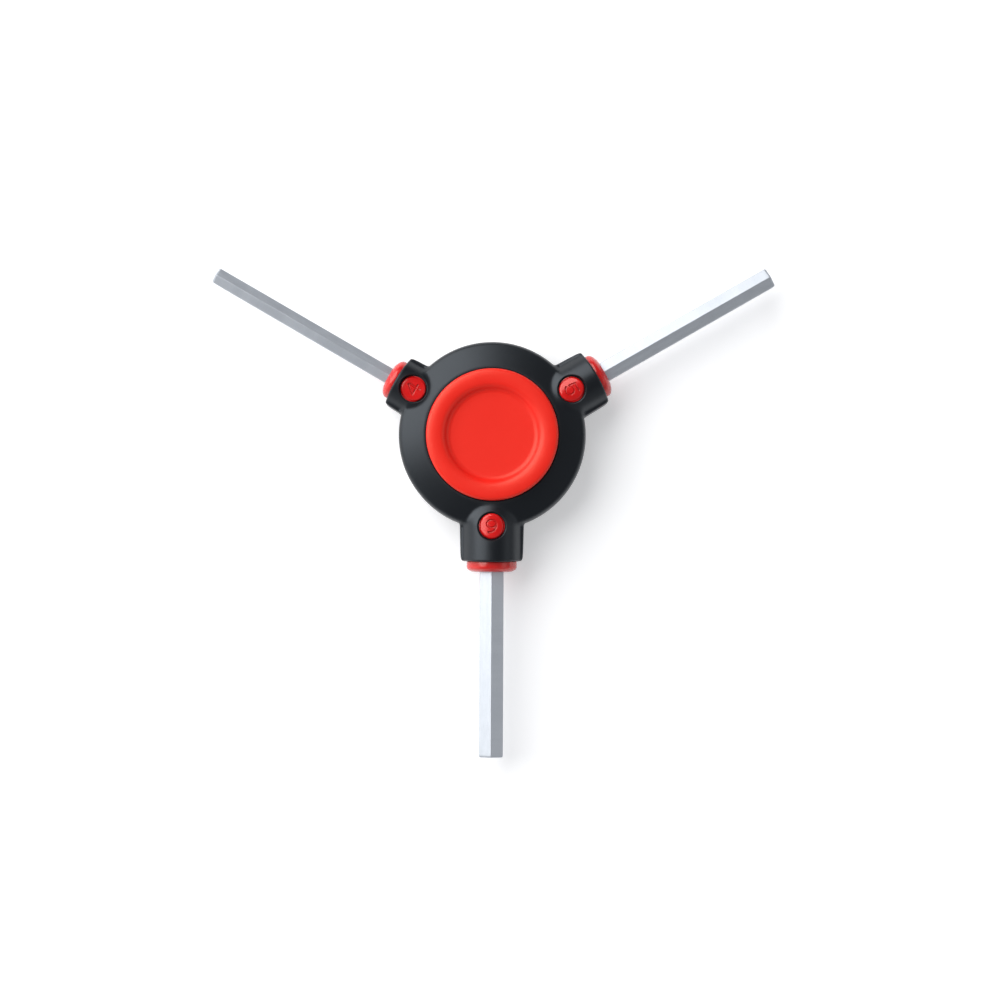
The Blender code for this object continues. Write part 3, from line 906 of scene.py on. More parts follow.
@dataclass
class HubShell:
    """One moulded half of the hub: a low dome with a filleted rim and three round-backed sockets."""

    side: Side
    finish: bpy.types.Material
    hub_radius: float = 23.3 * MM
    seat_radius: float = 16.52 * MM
    seat_bevel: float = 0.12 * MM
    seat_lip: float = 0.5 * MM
    crown: float = 6.514 * MM
    fall: float = 1.45 * MM
    rim_width: float = 1.0 * MM
    rim_fillet: float = 0.6 * MM
    rim_turn: float = math.radians(72)
    slope_crown: float = 0.15
    rim_drop: float = 1.6 * MM
    rim_run: float = 1.8 * MM
    socket_draft: float = 0.3 * MM
    mouth_fillet: float = 0.4 * MM
    corner_blend: float = 3.0 * MM
    junction_blend: float = 1.6 * MM
    barrel_blend: float = 1.8 * MM
    parting: float = 0.15 * MM
    parting_bevel: float = 0.15 * MM
    pocket_chamfer: float = 0.2 * MM
    pocket_lift: float = 0.03 * MM
    bore_reach: float = 40.0 * MM
    stem_fit: float = 0.2 * MM
    shank_hole: float = 1.37 * MM
    head_hole: float = 2.22 * MM
    columns: int = 780
    seat_rows: int = 3
    top_rows: int = 50
    wall_rows: int = 6
    end_crowding: float = 1.6
    outline_points: int = 4320
    core_facets: int = 120
    pocket_facets: int = 96
    bore_facets: int = 72
    stem_facets: int = 48
    screw_facets: int = 32
    least_facing: float = 0.3
    least_forward: float = 0.05

    def __post_init__(self) -> None:
        """Starts the tree with the named sizes of the hub and of its arms."""
        self.name = self.side.name.lower()
        self.tree = ShapeTree(f"moulded hub half, {self.name}")
        self.hub = self.tree.sizes(self, HUB_SIZES)
        self.arms = []
        for arm in ARMS:
            named = self.tree.sizes(arm, ARM_SIZES, f"{arm.size} ")
            turn = named["direction"]
            self.arms.append(named | {"cos": turn.do("COSINE"), "sin": turn.do("SINE")})

    def _on_arm(self, arm: dict[str, Value], x: Value, y: Value) -> tuple[Value, Value]:
        """A place's distance along an arm and aside from it."""
        return x * arm["cos"] + y * arm["sin"], y * arm["cos"] - x * arm["sin"]

    def _outline(self, column: Value) -> tuple[Value, Value]:
        """The hub's outline from above, evenly spaced.

        Args:
            column: The corner's column.

        Returns:
            The outline's place and its tangent at that column.
        """
        tree = self.tree
        sockets = {"Resolution": self.outline_points, "Radius": 1.0}
        circle = tree.node("GeometryNodeCurvePrimitiveCircle", sockets=sockets)
        x, y = tree.corner()
        reach = self.hub["hub_radius"]
        for arm in self.arms:
            along, aside = self._on_arm(arm, x, y)
            aside = aside.do("ABSOLUTE")
            draft = self.socket_draft / (arm["mouth"] - (PLUG_STATION - POCKET_RADIUS))
            flank = (aside + draft * along).do("MAXIMUM", self.least_forward)
            side = (arm["half_width"] + draft * arm["mouth"]) / flank
            forward = along.do("MAXIMUM", self.least_forward)
            lean = arm["mouth"] * aside / forward / arm["half_width"]
            end = (arm["mouth"] - lean * lean * MOUTH_BOW) / forward
            socket = side.do("SMOOTH_MIN", end, self.corner_blend) * (along > self.least_facing)
            reach = reach.do("SMOOTH_MAX", socket, self.junction_blend)
        curve = tree.placed(circle, tree.joined(x * reach, y * reach, 0.0))
        settings = {"mode": "FACTOR", "use_all_curves": False}
        sockets = {"Curves": curve, "Factor": column / self.columns}
        place = tree.node("GeometryNodeSampleCurve", settings, sockets, "Position")
        return place, place.output("Tangent")

    def _dome(self, radius: Value) -> Value:
        """The hub's slope, its rim, and the sockets' shoulders below the rim.

        Args:
            radius: The distance from the hub's axis.

        Returns:
            The height there.
        """
        hub = self.hub
        start = hub["seat_radius"] + self.seat_lip
        brow = hub["hub_radius"] - hub["rim_width"]
        way = ((radius - start) / (brow - start)).within(0.0, 1.0)
        beyond = ((radius - brow) / self.rim_run).within(0.0, 1.0)
        fall = way - self.slope_crown * (way - way * way)
        return hub["crown"] - hub["fall"] * fall - hub["rim_drop"] * beyond * beyond * (3 - 2 * beyond)

    def _barrel(self, arm: dict[str, Value], x: Value, y: Value) -> Value:
        """One socket's round back, domed at its inner end and filleted at its mouth.

        Args:
            arm: The arm's sizes.
            x: A place's first coordinate.
            y: Its second coordinate.

        Returns:
            The height there.
        """
        along, aside = self._on_arm(arm, x, y)
        lean = aside / arm["half_width"]
        bowed = along + lean * lean * MOUTH_BOW
        back = (PLUG_STATION - along).do("MAXIMUM", 0.0)
        fillet = self.hub["mouth_fillet"]
        out = (bowed - arm["mouth"] + fillet).within(0.0, fillet)
        radius = arm["barrel_radius"] - fillet + (fillet * fillet - out * out).do("SQRT")
        under = (radius * radius - aside * aside - back * back).do("MAXIMUM", 0.0)
        return arm["barrel_axis"] + under.do("SQRT")

    def _skin(self) -> tuple[Value, Value]:
        """The closed outer skin of the half.

        Its rows are the seat's middle, its corner and its bevel, then the top, the wall, and the
        parting face's edge and middle.

        Returns:
            The mesh, and the height rule without the rim's fillet, which reads a corner's place.
        """
        tree = self.tree
        first, last = self.seat_rows, self.seat_rows + self.top_rows
        rows = last + self.wall_rows + 3
        mesh, column, row = tree.grid(self.columns, rows)
        outline, tangent = self._outline(column)
        reach = tree.vector("LENGTH", outline, output="Value")
        facing = tree.vector("NORMALIZE", outline)
        way = ((row - first) / self.top_rows).within(0.0, 1.0)
        share = 1 - (1 - way) ** self.end_crowding
        radius = (self.hub["seat_radius"] + self.seat_bevel).to(reach, share)
        radius = radius - (row < 2.5) * self.seat_bevel - (row > rows - 2.5) * self.parting_bevel
        radius = radius * (row > 0.5) * (row < rows - 1.5)
        flat = tree.node("ShaderNodeVectorMath", {"operation": "SCALE"}, {0: facing, "Scale": radius})
        spread = tree.placed(mesh, flat)

        x, y = tree.corner()
        now = (x * x + y * y).do("SQRT")
        square = tree.vector("LENGTH", tree.vector("CROSS_PRODUCT", facing, tangent), output="Value")
        fillet = self.hub["rim_fillet"]
        rise = math.sin(self.rim_turn) * fillet
        inward = ((reach - now) * square).within(0.0, fillet * (1 - math.cos(self.rim_turn)))
        left = fillet - inward
        rounding = rise - (fillet * fillet - left * left).do("SQRT")
        rule = self._dome(now)
        rimmed = rule - rounding
        for arm in self.arms:
            barrel = self._barrel(arm, x, y)
            rule = rule.do("SMOOTH_MAX", barrel, self.barrel_blend)
            rimmed = rimmed.do("SMOOTH_MAX", barrel, self.barrel_blend)
        height = rimmed.to(SEAT_FLOOR, row < 1.5) - ((row > 1.5) * (row < 2.5)) * self.seat_bevel
        down = ((row - last) / self.wall_rows).within(0.0, 1.0)
        height = height.to(self.parting + self.parting_bevel, down)
        height = height - (row > last + self.wall_rows + 0.5) * self.parting_bevel
        return tree.welded(tree.placed(spread, tree.joined(x, y, height))), rule

    def _pocket(self, arm: dict[str, Value], rule: Value) -> Value:
        """A round pocket cutter whose chamfered edge follows the socket's back.

        Args:
            arm: The arm's sizes.
            rule: The height of the hub's surface.

        Returns:
            The cutter, in rows for its floor's middle and corner, its chamfer and its top.
        """
        tree = self.tree
        mesh, column, row = tree.grid(self.pocket_facets, 6)
        angle = column * (math.tau / self.pocket_facets)
        radius = (POCKET_RADIUS + (row > 2.5) * self.pocket_chamfer) * (row > 0.5) * (row < 4.5)
        x = arm["cos"] * PLUG_STATION + angle.do("COSINE") * radius
        y = arm["sin"] * PLUG_STATION + angle.do("SINE") * radius
        spread = tree.placed(mesh, tree.joined(x, y, 0.0))
        px, py = tree.corner()
        edge = rule - self.pocket_chamfer + (row > 2.5) * (self.pocket_chamfer + self.pocket_lift)
        height = arm["pocket_floor"].to(edge, row > 1.5).to(CAP_TOP + OVERRUN, row > 3.5)
        return tree.welded(tree.placed(spread, tree.joined(px, py, height)))

    def _cutters(self, rule: Value) -> list[Value]:
        """Everything that the half leaves free.

        Args:
            rule: The height of the hub's surface.

        Returns:
            The cutters.
        """
        tree, front = self.tree, self.side is Side.FRONT
        cutters = [tree.cylinder(CORE_RADIUS + FIT, -OVERRUN, CORE_HALF + FIT, self.core_facets)]
        for arm in self.arms:
            bore = tree.cylinder(arm["bore_radius"], 0.0, self.bore_reach, self.bore_facets)
            lying = tree.moved(bore, turn=(0, math.pi / 2, 0))
            cutters.append(tree.moved(lying, turn=tree.joined(0.0, 0.0, arm["direction"])))
            if front:
                top = arm["pocket_floor"] + OVERRUN
                access = tree.cylinder(STEM_RADIUS + self.stem_fit, 0.0, top, self.stem_facets)
                place = tree.joined(arm["cos"] * PLUG_STATION, arm["sin"] * PLUG_STATION, 0.0)
                cutters += [tree.moved(access, place), self._pocket(arm, rule)]
            place = tree.joined(arm["cos"] * -SCREW_CIRCLE, arm["sin"] * -SCREW_CIRCLE, 0.0)
            top = SHANK_REACH + FIT if front else HEAD_SEAT
            hole = tree.cylinder(self.shank_hole, -OVERRUN, top, self.screw_facets)
            cutters.append(tree.moved(hole, place))
            if not front:
                head = tree.cylinder(self.head_hole, HEAD_SEAT, CAP_TOP, self.screw_facets)
                cutters.append(tree.moved(head, place))
        return cutters

    def build(self) -> None:
        """Builds the half and dresses it."""
        tree = self.tree
        skin, rule = self._skin()
        settings = {"operation": "DIFFERENCE", "solver": "MANIFOLD"}
        sockets = {"Mesh 1": skin, "Mesh 2": self._cutters(rule)}
        shape = tree.node("GeometryNodeMeshBoolean", settings, sockets)
        shape = tree.moved(shape, (0, 0, MID_PLANE), scale=(1, 1, self.side.value))
        if self.side is Side.REAR:
            shape = tree.node("GeometryNodeFlipFaces", sockets={"Mesh": shape})
        mesh = tree.make(shape, self.finish)
        settled(mesh, f"hub_half_{self.name}", "hub", self.finish, f"{self.name}_shell")


@dataclass
class Cap:
    """A soft red disc set in the hub: dished for the thumb in the front, flat in the rear."""

    side: Side
    finish: bpy.types.Material
    facets: int = 216
    base_bevel: float = 0.3 * MM
    dish_lip: float = 12.95 * MM
    lip_round: float = 2.1 * MM
    foot_round: float = 1.7 * MM
    dish_wall: float = 50.0
    dish_depth: float = 1.6 * MM
    dish_sag: float = 0.08 * MM
    ring_crown: float = 0.1 * MM
    edge: float = 0.9 * MM
    edge_end: float = 80.0
    edge_steps: int = 10
    rear_edge_steps: int = 12
    crown_points: int = 8
    lip_steps: int = 14
    foot_steps: int = 8
    flat_rings: tuple[float, ...] = (14 * MM, 12 * MM, 9 * MM, 6 * MM, 3 * MM)
    dish_rings: tuple[float, ...] = (0.85, 0.7, 0.5, 0.3, 0.15)

    def _profile(self) -> list[Point]:
        """The cap's outline.

        Returns:
            Radius and height of its points, from its underside to its middle.
        """
        base = SEAT_FLOOR + FIT
        start = [(0.0, base), (CAP_RADIUS - self.base_bevel, base), (CAP_RADIUS, base + self.base_bevel)]
        if self.side is Side.REAR:
            rim = arc((CAP_RADIUS - self.edge, CAP_TOP - self.edge), self.edge, 0, 90, self.rear_edge_steps)
            return start + rim + [(radius, CAP_TOP) for radius in (*self.flat_rings, 0.0)]
        corner = (CAP_RADIUS - self.edge, CAP_TOP - self.edge - self.ring_crown)
        rim = arc(corner, self.edge, 0, self.edge_end, self.edge_steps)
        floor = CAP_TOP - self.dish_depth
        width = rim[-1][0] - self.dish_lip
        outline = []
        for radius in np.linspace(rim[-1][0], self.dish_lip, self.crown_points)[1:-1]:
            away = (radius - self.dish_lip) / width
            outline.append((radius, CAP_TOP - self.ring_crown * (2 * away - 1) ** 2))
        lean, turn = 4 * self.ring_crown / width, math.radians(self.dish_wall)
        middle_height = CAP_TOP - self.ring_crown - self.lip_round * math.cos(lean)
        middle = (self.dish_lip + self.lip_round * math.sin(lean), middle_height)
        outline += arc(middle, self.lip_round, 90 + math.degrees(lean), 90 + self.dish_wall, self.lip_steps)
        left = outline[-1][1] - floor - self.foot_round * (1 - math.cos(turn))
        foot = outline[-1][0] - left / math.tan(turn) - self.foot_round * math.sin(turn)
        middle = (foot, floor + self.foot_round)
        outline += arc(middle, self.foot_round, self.dish_wall - 90, -90, self.foot_steps)
        for share in (*self.dish_rings, 0.0):
            outline.append((share * foot, floor - self.dish_sag * (1 - share**2)))
        return start + rim + outline

    def build(self) -> None:
        """Builds the cap and dresses it."""
        mesh = revolved(self._profile(), self.facets)
        mesh.transform(Matrix.Translation((0, 0, MID_PLANE)) @ Matrix.Diagonal((1, 1, self.side.value, 1)))
        outward(mesh)
        name = self.side.name.lower()
        settled(mesh, f"cap_{name}", "hub", self.finish, f"{name}_cap", wear_radius=0.6 * MM)


# The arms


@dataclass
class HexBit:
    """A hex bar with a turned chamfer at each end and a flat on its ridge for the set screw."""

    arm: Arm
    finish: bpy.types.Material
    root: float = 10.3 * MM
    tip: float = 80.2 * MM
    tip_inset: float = 0.45 * MM
    tip_round: float = 0.6 * MM
    root_chamfer: float = 0.3 * MM
    corner: float = 0.16 * MM
    root_rings: int = 5
    long_inset: Point = (1.0 * MM, 2.0 * MM)
    long_rings: int = 30
    tip_rings: int = 24
    flat_end: float = 25.12 * MM
    flat_step: float = 0.01 * MM
    ridge_angles: tuple[float, ...] = (-6, -4, -2.6, -1.3, 0, 1.3, 2.6, 4, 6, 12, 21, 30, 39, 48)
    grain_slant: float = 1.7

    def _section(self) -> tuple[np.ndarray, np.ndarray]:
        """The bar's rounded hexagon.

        Returns:
            Angles round the bar from its ridge, and the bar's radius there.
        """
        angles = np.radians(np.add.outer(np.arange(6) * 60, self.ridge_angles).ravel())
        half, half_side = self.arm.across_flats / 2, math.radians(30)
        folded = np.abs((angles + half_side) % (2 * half_side) - half_side)
        flat = half / np.cos(half_side - folded)
        centre = (half - self.corner) / math.cos(half_side)
        across = centre * np.sin(folded)
        round_edge = centre * np.cos(folded) + np.sqrt(np.maximum(self.corner**2 - across**2, 0))
        in_corner = folded < math.atan2(self.corner * math.sin(half_side), self.arm.ridge)
        return angles, np.where(in_corner, np.minimum(flat, round_edge), flat)

    def _stations(self) -> np.ndarray:
        """The rings' places along the bar.

        Returns:
            Their stations, close together where the bar changes.
        """
        start = self.root + np.linspace(0, self.root_chamfer, self.root_rings)
        flat = [self.flat_end - self.flat_step, self.flat_end + self.flat_step]
        long = np.linspace(self.root + self.long_inset[0], self.tip - self.long_inset[1], self.long_rings)
        end = self.tip - self.tip_round * (1 - np.sin(np.linspace(0, math.pi / 2, self.tip_rings)))
        return np.array(sorted([*start, *flat, *long, *end]))

    def build(self) -> None:
        """Builds the bit and dresses it."""
        angles, radius = self._section()
        stations = self._stations()
        near = np.clip(1 - (self.tip - stations) / self.tip_round, 0, 1)
        inset = self.tip_inset * (1 - np.sqrt(1 - near**2))
        bevel = self.root_chamfer * np.clip(1 - (stations - self.root) / self.root_chamfer, 0, 1)
        reach = radius[None, :] - (inset + bevel)[:, None]
        across, up = reach * np.sin(angles), reach * np.cos(angles)
        up = np.where(stations[:, None] < self.flat_end, np.minimum(up, self.arm.flat_height), up)
        along = np.repeat(stations[:, None], len(angles), axis=1)
        mesh = turned_grid(np.stack([along, across, up], axis=-1))
        layer = mesh.uv_layers.new(name="grain")
        for loop in mesh.loops:
            place = mesh.vertices[loop.vertex_index].co
            layer.data[loop.index].uv = (place.x, place.y + self.grain_slant * place.z)
        mesh.transform(self.arm.turn)
        name, node = self.arm.named("bit"), self.arm.named("hex_bit")
        settled(mesh, f"plated_{name}", name, self.finish, node, wear_radius=0.25 * MM)


@dataclass
class SizePlug:
    """A red plug whose top follows the socket's round back, with its size engraved in it."""

    arm: Arm
    finish: bpy.types.Material
    recess: float = 0.85 * MM
    edge: float = 0.6 * MM
    facets: int = 96
    edge_rings: int = 9
    top_rings: int = 22
    eye: float = 0.02 * MM
    numeral_height: float = 3.7 * MM
    numeral_width: float = 3.3 * MM
    groove_radius: float = 0.33 * MM
    groove_depth: float = 0.3 * MM
    groove_facets: int = 14
    groove_ends: tuple[float, ...] = (80, 55, 28)
    line_points: int = 9
    bow_steps: int = 20
    least_side: float = 0.05 * MM

    def _top(self, aside: np.ndarray) -> np.ndarray:
        """The height of the plug's top at distances from the arm's middle line."""
        return self.arm.barrel_axis - self.recess + np.sqrt(self.arm.barrel_radius**2 - aside * aside)

    def _blank(self) -> bpy.types.Mesh:
        """The plug before its numeral is cut.

        Returns:
            Its mesh, standing on the hub's axis.
        """
        aside = ring(1.0, 0.0, self.facets)[:, 1]
        ledge = self.arm.pocket_floor + FIT
        rings = [(STEM_RADIUS, self.arm.bore_radius), (STEM_RADIUS, ledge), (PLUG_RADIUS, ledge)]
        for turn in np.linspace(0, math.pi / 2, self.edge_rings):
            radius = PLUG_RADIUS - self.edge * (1 - math.cos(turn))
            top = self._top(radius * aside) - self.edge * (1 - math.sin(turn))
            rings.append((radius, np.maximum(top, ledge + self.least_side * (1 + turn))))
        for radius in np.linspace(PLUG_RADIUS - self.edge, self.eye, self.top_rings)[1:]:
            rings.append((radius, self._top(radius * aside)))
        return revolved(rings, self.facets)

    def _strokes(self) -> list[np.ndarray]:
        """The numeral's strokes.

        Returns:
            Lines in a box one wide and one high, round the origin.
        """

        def line(first: Point, last: Point) -> np.ndarray:
            """A straight stroke."""
            return np.linspace(first, last, self.line_points)

        def bow(middle: Point, reach: Point, first: float, last: float) -> np.ndarray:
            """A stroke round an ellipse, between two angles in degrees."""
            return np.array(middle) + np.array(reach) * arc((0.0, 0.0), 1.0, first, last, self.bow_steps)

        if self.arm.size == "4mm":
            elbow = (-0.5, -0.2)
            return [line((0.14, 0.5), elbow), line(elbow, (0.5, -0.2)), line((0.24, 0.42), (0.24, -0.5))]
        if self.arm.size == "5mm":
            shoulder, heel = (-0.34, 0.5), (-0.4, 0.0)
            belly = bow((-0.02, -0.16), (0.46, 0.34), 150, -150)
            return [line((0.42, 0.5), shoulder), line(shoulder, heel), belly]
        loop, reach = (0.0, -0.19), (0.46, 0.31)
        tail = bow((0.2, -0.12), (0.66, 0.62), 176, 82)
        return [bow(loop, reach, -20, 200), bow(loop, reach, 160, 380), tail]

    def _groove(self, stroke: np.ndarray) -> bpy.types.Mesh:
        """The round-ended cutter of one stroke, its head towards the arm's tip.

        Args:
            stroke: The stroke's points in the numeral's box.

        Returns:
            The cutter's mesh.
        """
        radius = self.groove_radius
        along = stroke[:, 1] * (self.numeral_height - 2 * radius)
        across = -stroke[:, 0] * (self.numeral_width - 2 * radius)
        places = np.stack([along, across, self._top(across) + radius - self.groove_depth], axis=-1)
        ways = np.gradient(places, axis=0)
        ways /= np.linalg.norm(ways, axis=1, keepdims=True)
        rounding = np.radians(self.groove_ends)
        first = places[0] - ways[0] * radius * np.sin(rounding)[:, None]
        last = places[-1] + ways[-1] * radius * np.sin(rounding[::-1])[:, None]
        middles = np.concatenate([first, places, last])
        ways = np.concatenate([ways[[0] * 3], ways, ways[[-1] * 3]])
        reach = radius * np.concatenate([np.cos(rounding), np.ones(len(places)), np.cos(rounding[::-1])])
        aside = np.cross(ways, (0, 0, 1))
        aside /= np.linalg.norm(aside, axis=1, keepdims=True)
        upward = np.cross(aside, ways)
        circle = ring(1.0, 0.0, self.groove_facets)
        rings = aside[:, None] * circle[:, :1] + upward[:, None] * circle[:, 1:2]
        return turned_grid(middles[:, None] + rings * reach[:, None, None])

    def build(self) -> None:
        """Builds the plug and dresses it."""
        mesh = self._blank()
        for stroke in self._strokes():
            mesh = carved(mesh, [self._groove(stroke)])
        mesh.transform(self.arm.turn @ Matrix.Translation((PLUG_STATION, 0, 0)))
        name, node = self.arm.named("plug"), self.arm.named("size_plug")
        settled(mesh, f"numbered_{name}", name, self.finish, node, wear_radius=0.2 * MM)


@dataclass
class Collar:
    """A red bush in the socket's mouth, with a soft round lip and a hex hole for the bit."""

    arm: Arm
    finish: bpy.types.Material
    lip: float = 0.7 * MM
    lip_bevel: float = 0.15 * MM
    rim: float = 2.5 * MM
    gap: float = 0.03 * MM
    width_share: float = 2.0
    throat: float = 0.45 * MM
    throat_step: float = 0.15 * MM
    throat_depth: float = 0.5 * MM
    bow_reach: float = 0.2 * MM
    stem_start: float = 26.12 * MM
    rim_steps: int = 12
    facets: int = 120

    def build(self) -> None:
        """Builds the collar along Z, lays it along its arm and dresses it."""
        arm = self.arm
        outer, lip = arm.mouth + self.rim, arm.bore_radius + self.lip
        start, brim = arm.mouth + self.gap, outer - arm.collar_round
        profile = [(0.0, self.stem_start), (arm.arm_radius, self.stem_start), (arm.arm_radius, start)]
        profile += [(lip - self.lip_bevel, start), (lip, start + self.lip_bevel)]
        for across, along in arc((0.0, 0.0), 1.0, 0, 90, self.rim_steps):
            inward = (1 - across) * self.width_share * arm.collar_round
            profile.append((lip - inward, outer - (1 - along) * arm.collar_round))
        hole = arm.bore_flats / math.sqrt(3)
        profile = [point for point in profile if point[0] > hole + self.throat or point[1] < brim]
        brink = profile[-1][1]
        profile += [(hole + self.throat / 2, brink - self.throat_step), (0.0, brink - self.throat_depth)]
        mesh = revolved(profile, self.facets)
        for vertex in mesh.vertices:
            if abs(vertex.co.z - start) < self.bow_reach and vertex.co.xy.length > arm.bore_radius:
                vertex.co.z -= MOUTH_BOW * (vertex.co.y / arm.half_width) ** 2
        mesh = carved(mesh, [hexagon_prism(arm.bore_flats, self.stem_start - OVERRUN, outer + OVERRUN)])
        mesh.transform(arm.turn @ Matrix.Rotation(math.pi / 2, 4, "Y"))
        name = arm.named("collar")
        settled(mesh, f"red_{name}", "hub", self.finish, name, wear_radius=0.5 * MM)


# The screws


class Recess(Enum):
    """How a screw is driven."""

    HEX = "hex"
    CROSS = "cross"


@dataclass
class ThreadedScrew:
    """A screw with a real thread, built upwards from its lower end."""

    name: str
    finish: bpy.types.Material
    radius: float = 1.95 * MM
    length: float = 3.0 * MM
    pitch: float = 0.7 * MM
    thread: float = 0.3 * MM
    recess: Recess = Recess.HEX
    head_radius: float = 0.0
    head_height: float = 0.0
    head_bevel: float = 0.15 * MM
    chamfer: float = 0.3 * MM
    recess_width: float = 2.0 * MM
    recess_depth: float = 1.2 * MM
    blade_share: float = 0.22
    blade_taper: float = 0.7
    columns: int = 40
    rows_a_turn: int = 10
    spare_turns: float = 64.0

    def _thread(self) -> bpy.types.Mesh:
        """The screw before its recess is cut.

        Its rows are the lower end's middle, the thread, the head's edge and bevel where there is a
        head, and the upper end's middle.

        Returns:
            Its mesh along +Z from the origin, its head or driven end on top.
        """
        tree = ShapeTree(f"threaded screw, {self.name}")
        size = tree.sizes(self, ("radius", "length", "pitch", "thread", "chamfer", "head_radius"))
        threaded = round(self.rows_a_turn * (self.length - self.head_height) / self.pitch)
        rows = threaded + 6
        mesh, column, row = tree.grid(self.columns, rows)
        turn = column / self.columns
        height = ((row - 1) / threaded).within(0.0, 1.0) * (size["length"] - self.head_height)
        # Spare whole turns keep what the modulo takes above zero.
        phase = (height / size["pitch"] - turn + self.spare_turns) % 1.0
        root = 1 - (phase - 0.5).do("ABSOLUTE") * 2
        ends = size["radius"] - size["chamfer"]
        shape = (size["radius"] - size["thread"] * root).do("MINIMUM", ends + height)
        if self.head_height:
            bevel = (row > threaded + 3.5) * self.head_bevel
            shape = shape.do("MINIMUM", size["radius"]).to(size["head_radius"], row > threaded + 1.5) - bevel
            height = height + (row > threaded + 2.5) * (self.head_height - self.head_bevel) + bevel
        else:
            shape = shape.do("MINIMUM", ends + (size["length"] - height))
        shape = shape * (row > 0.5) * (row < rows - 1.5)
        angle = turn * math.tau
        spread = tree.placed(mesh, tree.joined(angle.do("COSINE") * shape, angle.do("SINE") * shape, height))
        return outward(tree.make(tree.welded(spread), self.finish))

    def _drive(self) -> list[bpy.types.Mesh]:
        """The recess in the top end.

        Returns:
            Its cutters.
        """
        low, high = self.length - self.recess_depth, self.length + OVERRUN
        if self.recess is Recess.HEX:
            return [hexagon_prism(self.recess_width, low, high)]
        half, slim = self.recess_width / 2, self.blade_share * self.recess_width
        corners = np.array([(-half, -slim, 0.0), (half, -slim, 0.0), (half, slim, 0.0), (-half, slim, 0.0)])
        blades = []
        for turn in (0.0, math.pi / 2):
            foot = corners * (self.blade_taper, 1, 1)
            blade = turned_grid(np.array([foot + (0, 0, low), corners + (0, 0, high)]))
            blade.transform(Matrix.Rotation(turn, 4, "Z"))
            blades.append(blade)
        return blades

    def build(self, place: Matrix, body: str) -> None:
        """Builds the screw and dresses it.

        Args:
            place: Where its lower end stands.
            body: The body that carries it.
        """
        mesh = carved(self._thread(), self._drive())
        mesh.transform(place)
        name = f"threaded_{self.name}"
        settled(mesh, name, body, self.finish, self.name, wear_radius=0.2 * MM)


@dataclass
class Fasteners:
    """The set screws under the plugs, and the self-tapping screws that hold the halves together."""

    finish: bpy.types.Material
    head_height: float = 1.2 * MM

    def _set_screw(self, arm: Arm) -> None:
        """The set screw of one arm, from the bit's flat to the steel arm's top."""
        low = arm.flat_height + SLIDE_FIT
        screw = ThreadedScrew(arm.named("set_screw"), self.finish, length=arm.arm_radius - low)
        screw.build(arm.turn @ Matrix.Translation((PLUG_STATION, 0, low)), arm.named("grub"))

    def _shell_screw(self, number: int, arm: Arm) -> None:
        """One of the three screws up through the rear half, opposite an arm.

        Args:
            number: The screw's number.
            arm: The arm.
        """
        screw = ThreadedScrew(
            name=f"shell_screw_{number}",
            finish=self.finish,
            radius=1.25 * MM,
            length=SHANK_REACH + HEAD_SEAT + SLIDE_FIT + self.head_height,
            pitch=1.0 * MM,
            recess=Recess.CROSS,
            head_radius=2.1 * MM,
            head_height=self.head_height,
            chamfer=0.7 * MM,
            recess_depth=0.7 * MM,
        )
        across = arm.direction + math.pi
        place = (SCREW_CIRCLE * math.cos(across), SCREW_CIRCLE * math.sin(across), MID_PLANE + SHANK_REACH)
        screw.build(Matrix.Translation(place) @ Matrix.Rotation(math.pi, 4, "X"), "hub")

    def build(self) -> None:
        """Builds every screw."""
        for number, arm in enumerate(ARMS, 1):
            self._set_screw(arm)
            self._shell_screw(number, arm)


# The studio


def aimed(place: Vector, way: Vector) -> Matrix:
    """Stands a camera or lamp at a place, looking along a way."""
    return Matrix.Translation(place) @ way.to_track_quat("-Z", "Y").to_matrix().to_4x4()


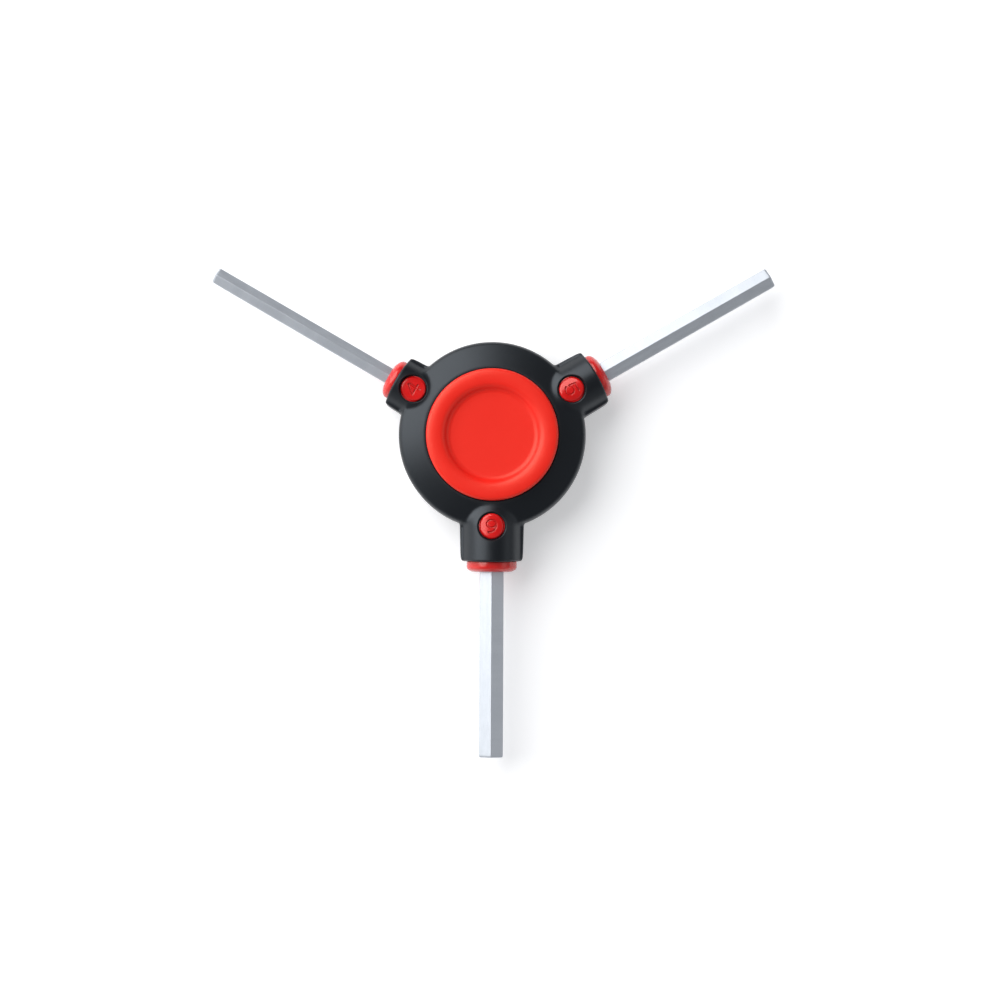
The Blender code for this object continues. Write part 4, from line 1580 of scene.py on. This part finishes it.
@dataclass
class Studio:
    """A white sweep and one large soft lamp, in a room with a window on the left and a glow on the right."""

    photo_width: float = 250.0 * MM
    distance: float = 700.0 * MM
    aim: Point = (2.0 * MM, -16.0 * MM)
    camera_y: float = -41.6 * MM
    roll: float = math.radians(0.25)
    film_width: float = 36.0
    clip_range: Point = (0.01, 20.0)
    floor_size: float = 6.0
    lamp_direction: float = math.radians(142)
    lamp_elevation: float = math.radians(41)
    lamp_distance: float = 1.0
    lamp_size: float = 1.4
    lamp_power: float = 15.2
    low_room: Colour = (0.31, 0.32, 0.34)
    high_room: Colour = (0.20, 0.206, 0.22)
    low_share: float = 0.5
    high_share: float = 0.8
    window_way: tuple[float, float, float] = (-0.98, -0.17, 0.0)
    window_glow: float = 1.0
    window_focus: float = 5.0
    front_way: tuple[float, float, float] = (-0.5, -0.866, 0.0)
    front_glow: float = 0.16
    bounce_glow: float = 4.6
    bounce_focus: float = 4.0

    def _camera(self) -> None:
        """Sets the camera over the tool, a little towards the 6 mm bit, and tilts it back."""
        data = bpy.data.cameras.new("photo_camera")
        data.sensor_width = self.film_width
        data.lens = data.sensor_width * self.distance / self.photo_width
        data.clip_start, data.clip_end = self.clip_range
        camera = stood("photo_camera", data)
        place = Vector((self.aim[0], self.camera_y, MID_PLANE + self.distance))
        look = Vector((*self.aim, MID_PLANE)) - place
        camera.matrix_world = aimed(place, look) @ Matrix.Rotation(self.roll, 4, "Z")
        bpy.context.scene.camera = camera

    def _floor(self) -> None:
        """Lays the sweep under the tool."""
        half = self.floor_size / 2
        mesh = bpy.data.meshes.new("white_sweep")
        corners = [(-half, -half, 0), (half, -half, 0), (half, half, 0), (-half, half, 0)]
        mesh.from_pydata(corners, [], [(0, 1, 2, 3)])
        mesh.materials.append(StudioSweep().material())
        stood("white_sweep", mesh)

    def _lamp(self) -> None:
        """Hangs the large soft lamp."""
        data = bpy.data.lights.new("soft_lamp", "AREA")
        data.shape = "DISK"
        data.size = self.lamp_size
        data.energy = self.lamp_power
        flat, turn = math.cos(self.lamp_elevation), self.lamp_direction
        way = Vector((flat * math.cos(turn), flat * math.sin(turn), math.sin(self.lamp_elevation)))
        stood("soft_lamp", data).matrix_world = aimed(way * self.lamp_distance, -way)

    def _room(self) -> None:
        """Surrounds the tool with a room, darker overhead, that is brightest at its window.

        It is a little brighter in front and on the left, and glows above the horizon on the right.
        """
        world = bpy.data.worlds.new("studio_room")
        world.use_nodes = True
        bpy.context.scene.world = world
        room = Graph(world.node_tree)
        room.tree.nodes.clear()
        way = room.vector("NORMALIZE", room.node("ShaderNodeTexCoord", output="Generated"))
        right, _, up = room.parts(way)
        share = room.step(up, self.low_share, self.high_share)
        colour = room.mixed(share, self.low_room, self.high_room)
        facing = room.vector("DOT_PRODUCT", way, self.window_way, output="Value")
        front = room.vector("DOT_PRODUCT", way, self.front_way, output="Value")
        window = facing.do("MAXIMUM", 0.0) ** self.window_focus * self.window_glow
        bounce = right.do("MAXIMUM", 0.0) ** self.bounce_focus * up * up * self.bounce_glow
        side_light = (window + bounce + front * self.front_glow) * (1 - share)
        lit = room.mixed(1.0, colour, room.joined(side_light, side_light, side_light), "ADD")
        glow = room.node("ShaderNodeBackground", sockets={"Color": lit})
        room.add("ShaderNodeOutputWorld", sockets={"Surface": glow})

    def build(self) -> None:
        """Sets up camera, floor, lamp and room."""
        self._camera()
        self._floor()
        self._lamp()
        self._room()
        bpy.context.scene.view_settings.view_transform = "Standard"


def main() -> None:
    """Builds and dresses the whole wrench and its studio."""
    logging.basicConfig(level=logging.INFO, format="%(name)s: %(message)s")
    nylon = MouldedPlastic(
        "black_nylon_grained", (0.0026, 0.0032, 0.0045), (0.016, 0.018, 0.022), 0.34, gloss=0.54,
        gloss_tint=(0.84, 0.92, 1.0),
    ).material()
    rubber = MouldedPlastic(
        "red_rubber", (0.89, 0.016, 0.009), (0.87, 0.05, 0.03), 0.36, grain_depth=0.003 * MM, mottle=0.03,
        gloss=0.55, gloss_tint=(1.0, 0.78, 0.58), grime_and_shade=0.1,
    ).material()
    plastic = MouldedPlastic(
        "red_plastic_glossy", (0.69, 0.002, 0.002), (0.80, 0.04, 0.04), 0.22, grain_depth=0.002 * MM,
        mottle=0.05, gloss=0.9, gloss_tint=(1.0, 0.7, 0.65),
    ).material()
    plated = DrawnSteel("plated_steel_satin", (0.56, 0.59, 0.63), (0.51, 0.54, 0.58), 0.42).material()
    machined = TurnedSteel("machined_steel_turned", (0.45, 0.46, 0.47), 0.38).material()
    blackened = TurnedSteel("blackened_steel_oiled", (0.06, 0.06, 0.065), 0.42).material()

    for side in Side:
        HubShell(side, nylon).build()
        Cap(side, rubber).build()
    for arm in ARMS:
        HexBit(arm, plated).build()
        SizePlug(arm, plastic).build()
        Collar(arm, plastic).build()
    Fasteners(blackened).build()
    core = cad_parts["steel_core"]
    core.data.materials.clear()
    core.data.materials.append(machined)
    log.info("steel_core: carried over")
    Studio().build()


if __name__ == "__main__":
    main()
